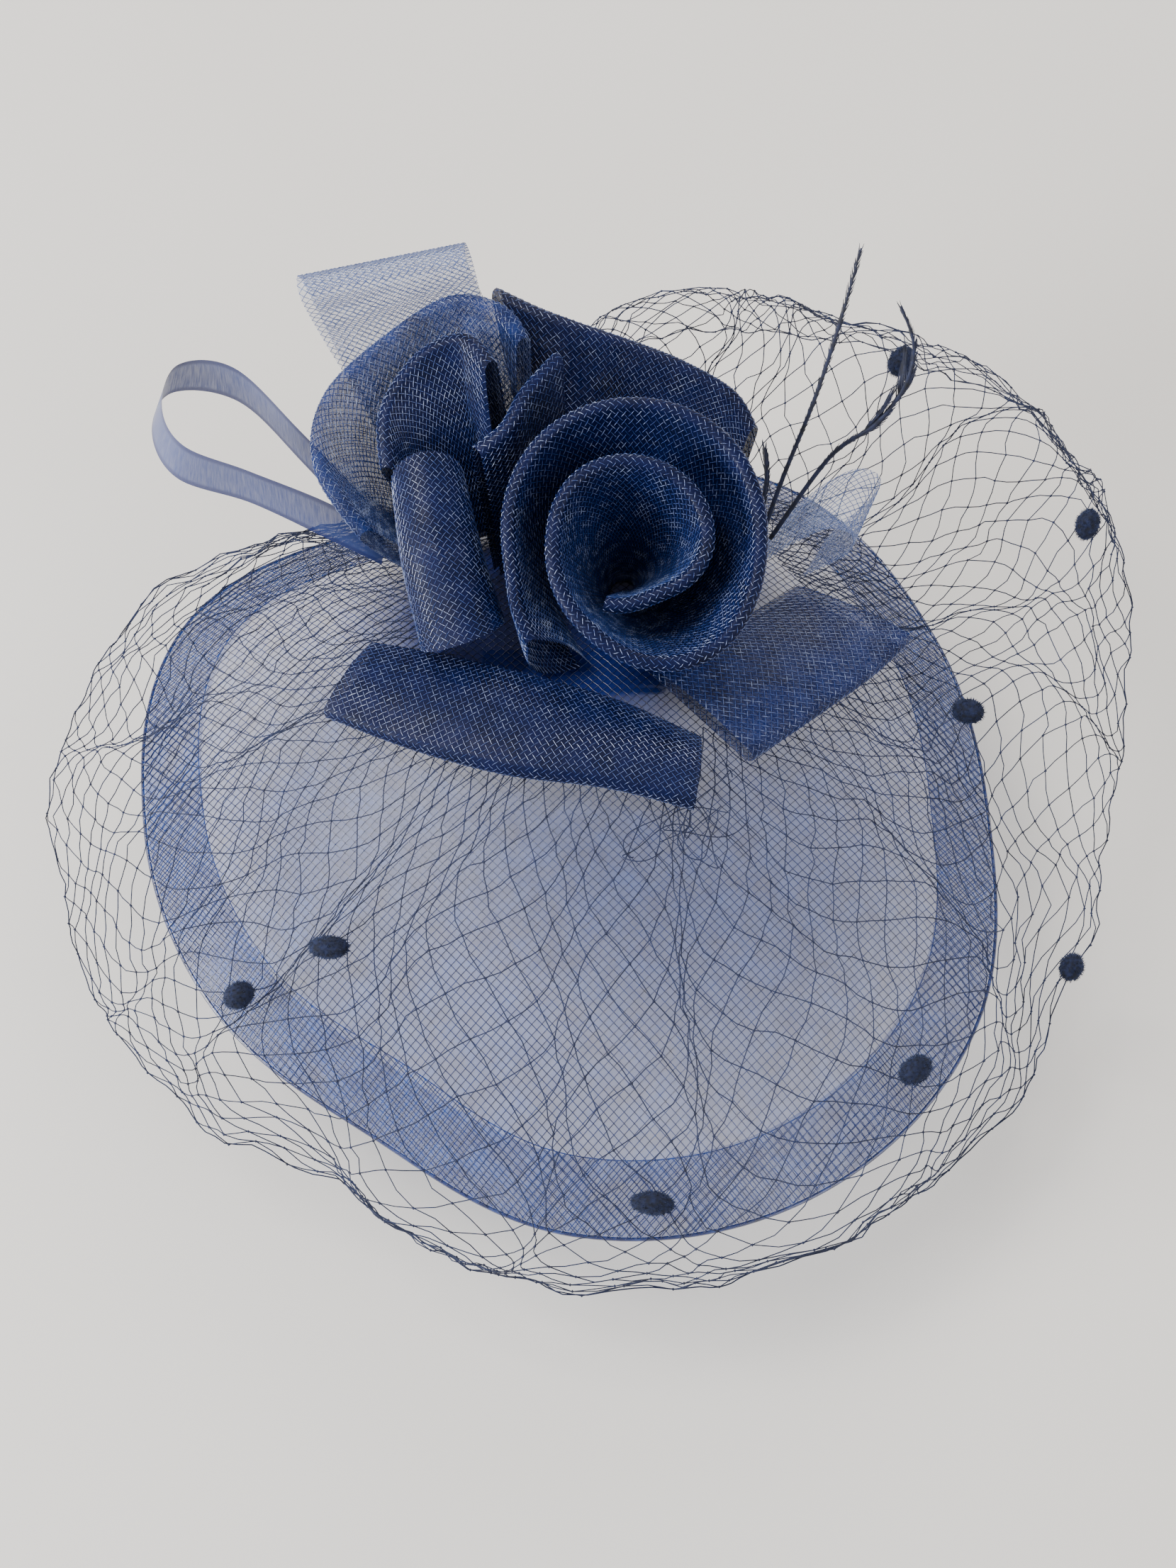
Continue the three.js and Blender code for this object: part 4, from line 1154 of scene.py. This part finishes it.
def add_feather(name, rows, sprays, material):
    """A stripped quill: short trimmed barbs close along it, and sprays of longer ones."""
    u = np.linspace(0, 1, QUILL_STEPS)
    spine = blend(rows, u)[:, :3]
    ahead = unit(np.gradient(spine, axis=0))
    up = unit(np.cross(ahead, QUILL_FLAT))
    radius = np.interp(u, QUILL_SHARES, QUILL_RADII)
    points, faces = tubes([(spine, up)], radius, QUILL_SIDES)
    runs = []

    def barb(share, side, sideways, forward):
        at = int(share * (QUILL_STEPS - 1))
        out = side * np.cross(ahead[at], up[at])
        t = np.linspace(0, 1, BARB_POINTS)[:, None]
        path = spine[at] + out * sideways * t**BARB_CURVE + ahead[at] * forward * t
        runs.append((path, np.repeat(up[at][None], BARB_POINTS, 0)))

    for share in np.linspace(BARB_BEGINS, BARB_ENDS, BARB_PAIRS):
        half = min(blend(rows, np.array([share]))[0, 3], BARB_MOST)
        for side in (1, -1):
            barb(share, side, half * BARB_DRAWS.uniform(*BARB_SHARE), BARB_DRAWS.uniform(*BARB_AHEAD))
    for start, stop, side, sideways, forward in sprays:
        for share in np.linspace(start, stop, SPRAY_BARBS):
            spread = BARB_DRAWS.uniform(*SPRAY_SHARE)
            barb(share, side, sideways * spread, forward * BARB_DRAWS.uniform(*SPRAY_AHEAD))
    thick = np.tile(np.linspace(BARB_ROOT, BARB_TIP, BARB_POINTS), len(runs))
    barb_points, barb_faces = tubes(runs, thick)
    faces = faces + [f + len(points) for f in barb_faces]
    feather = add_mesh(name + "_barbs", np.concatenate([points, barb_points]), faces, material)
    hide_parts(name)


def add_stage(low):
    """A plain pale floor a little under the part."""
    half = FLOOR_HALF
    height = low - FLOOR_DROP
    corners = [(-half, -half, height), (half, -half, height), (half, half, height), (-half, half, height)]
    mesh = bpy.data.meshes.new("floor")
    mesh.from_pydata(corners, [], [(0, 1, 2, 3)])
    mesh.materials.append(floor_material())
    floor = bpy.data.objects.new("floor", mesh)
    bpy.context.scene.collection.objects.link(floor)


def add_lights():
    """Soft square lights aimed at the origin, and a pale world around them."""
    for name, place, size, power, colour in LIGHTS:
        data = bpy.data.lights.new(name, "AREA")
        data.size = size
        data.energy = power
        data.color = colour
        lamp = bpy.data.objects.new(name, data)
        lamp.location = place
        x, y, z = place
        lamp.rotation_euler = (math.atan2(math.hypot(x, y), z), 0, math.atan2(-y, -x) - math.pi / 2)
        bpy.context.scene.collection.objects.link(lamp)
    world = bpy.data.worlds.new("studio")
    world.use_nodes = True
    background = world.node_tree.nodes["Background"]
    background.inputs["Color"].default_value = linear(WORLD)
    background.inputs["Strength"].default_value = WORLD_STRENGTH
    bpy.context.scene.world = world


def add_camera():
    data = bpy.data.cameras.new("camera")
    data.lens = CAMERA_LENS
    data.sensor_width = CAMERA_SENSOR
    data.clip_start, data.clip_end = CAMERA_CLIP
    camera = bpy.data.objects.new("camera", data)
    camera.location = to_part(CAMERA_AT)
    camera.rotation_euler = (math.radians(CAMERA_TILT), 0, 0)
    bpy.context.scene.collection.objects.link(camera)
    bpy.context.scene.camera = camera


def add_flower():
    """The rose, and the folds around it."""
    # The folds' strands are a lighter copy of the brim's, with painted silver glints.
    strands = strand_material("painted_glint_strand", NAVY, NAVY_LIGHT, PAINTED_GLINT_SILVER)
    dense = sheer_material("crinoline_dense", *FLOWER_FILM)
    thinner = {
        "petal_left_outer": sheer_material("crinoline_double", *OUTER_PETAL_FILM),
        "right_wing": sheer_material("crinoline_wing", *WING_FILM),
    }
    rose = Cloth(folded_grid(rose_section, ROSE_STEPS, ROSE_FOOT_HALF))
    add_crinoline("rose_coil", ["rose_heart", "rose_outer"], rose, dense, strands)
    for name, rows, lip, foot_half, rests_on in FOLDS:
        cloth = Cloth(folded_grid(fold_section(rows, lip), FOLD_STEPS, foot_half))
        add_crinoline(name, [name], cloth, thinner.get(name, dense), strands)


def add_loops():
    """The two loops of pale crinoline."""
    strands = strand_material("pale_strand", NAVY_LIGHT, PALE_DEEP, PALE)
    pale = sheer_material("crinoline_pale", *LOOP_FILM)
    for name, rows in (("crin_loop_top", CRIN_LOOP_TOP), ("loop_right", LOOP_RIGHT)):
        cloth = Cloth(ribbon_grid(rows, *LOOP_GRID))
        add_crinoline(name, [name], cloth, pale, strands)


def add_ribbon():
    """The loop of narrow organza ribbon."""
    cloth = Cloth(ribbon_grid(RIBBON_LOOP_LEFT, *RIBBON_GRID))
    ribbon = add_sheet("ribbon_loop_left_cloth", cloth, organza_material(cloth.across[-1]))
    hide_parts("ribbon_loop_left")


def add_feathers():
    feather = feather_material()
    add_feather("feather_long", FEATHER_LONG, [], feather)
    add_feather("feather_split", FEATHER_SPLIT, SPLIT_SPRAYS, feather)
    add_feather("feather_stub", FEATHER_STUB, [], feather)


def dress_clip():
    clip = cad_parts["hair_clip"]
    clip.data.materials.clear()
    clip.data.materials.append(clip_material())


def build():
    add_camera()
    add_lights()
    add_stage(cad_box[0][2])
    strands = strand_material("crinoline_strand", NAVY_DEEP, NAVY, NAVY_LIGHT)
    hem = sheer_material("crinoline_hem", *HEM_FILM, HEM_GLOSS)
    add_brim(brim_material(*BRIM_FILM), strands, hem)
    add_flower()
    add_loops()
    add_ribbon()
    add_veil(thread_material())
    add_dots(chenille_material())
    add_feathers()
    dress_clip()


build()
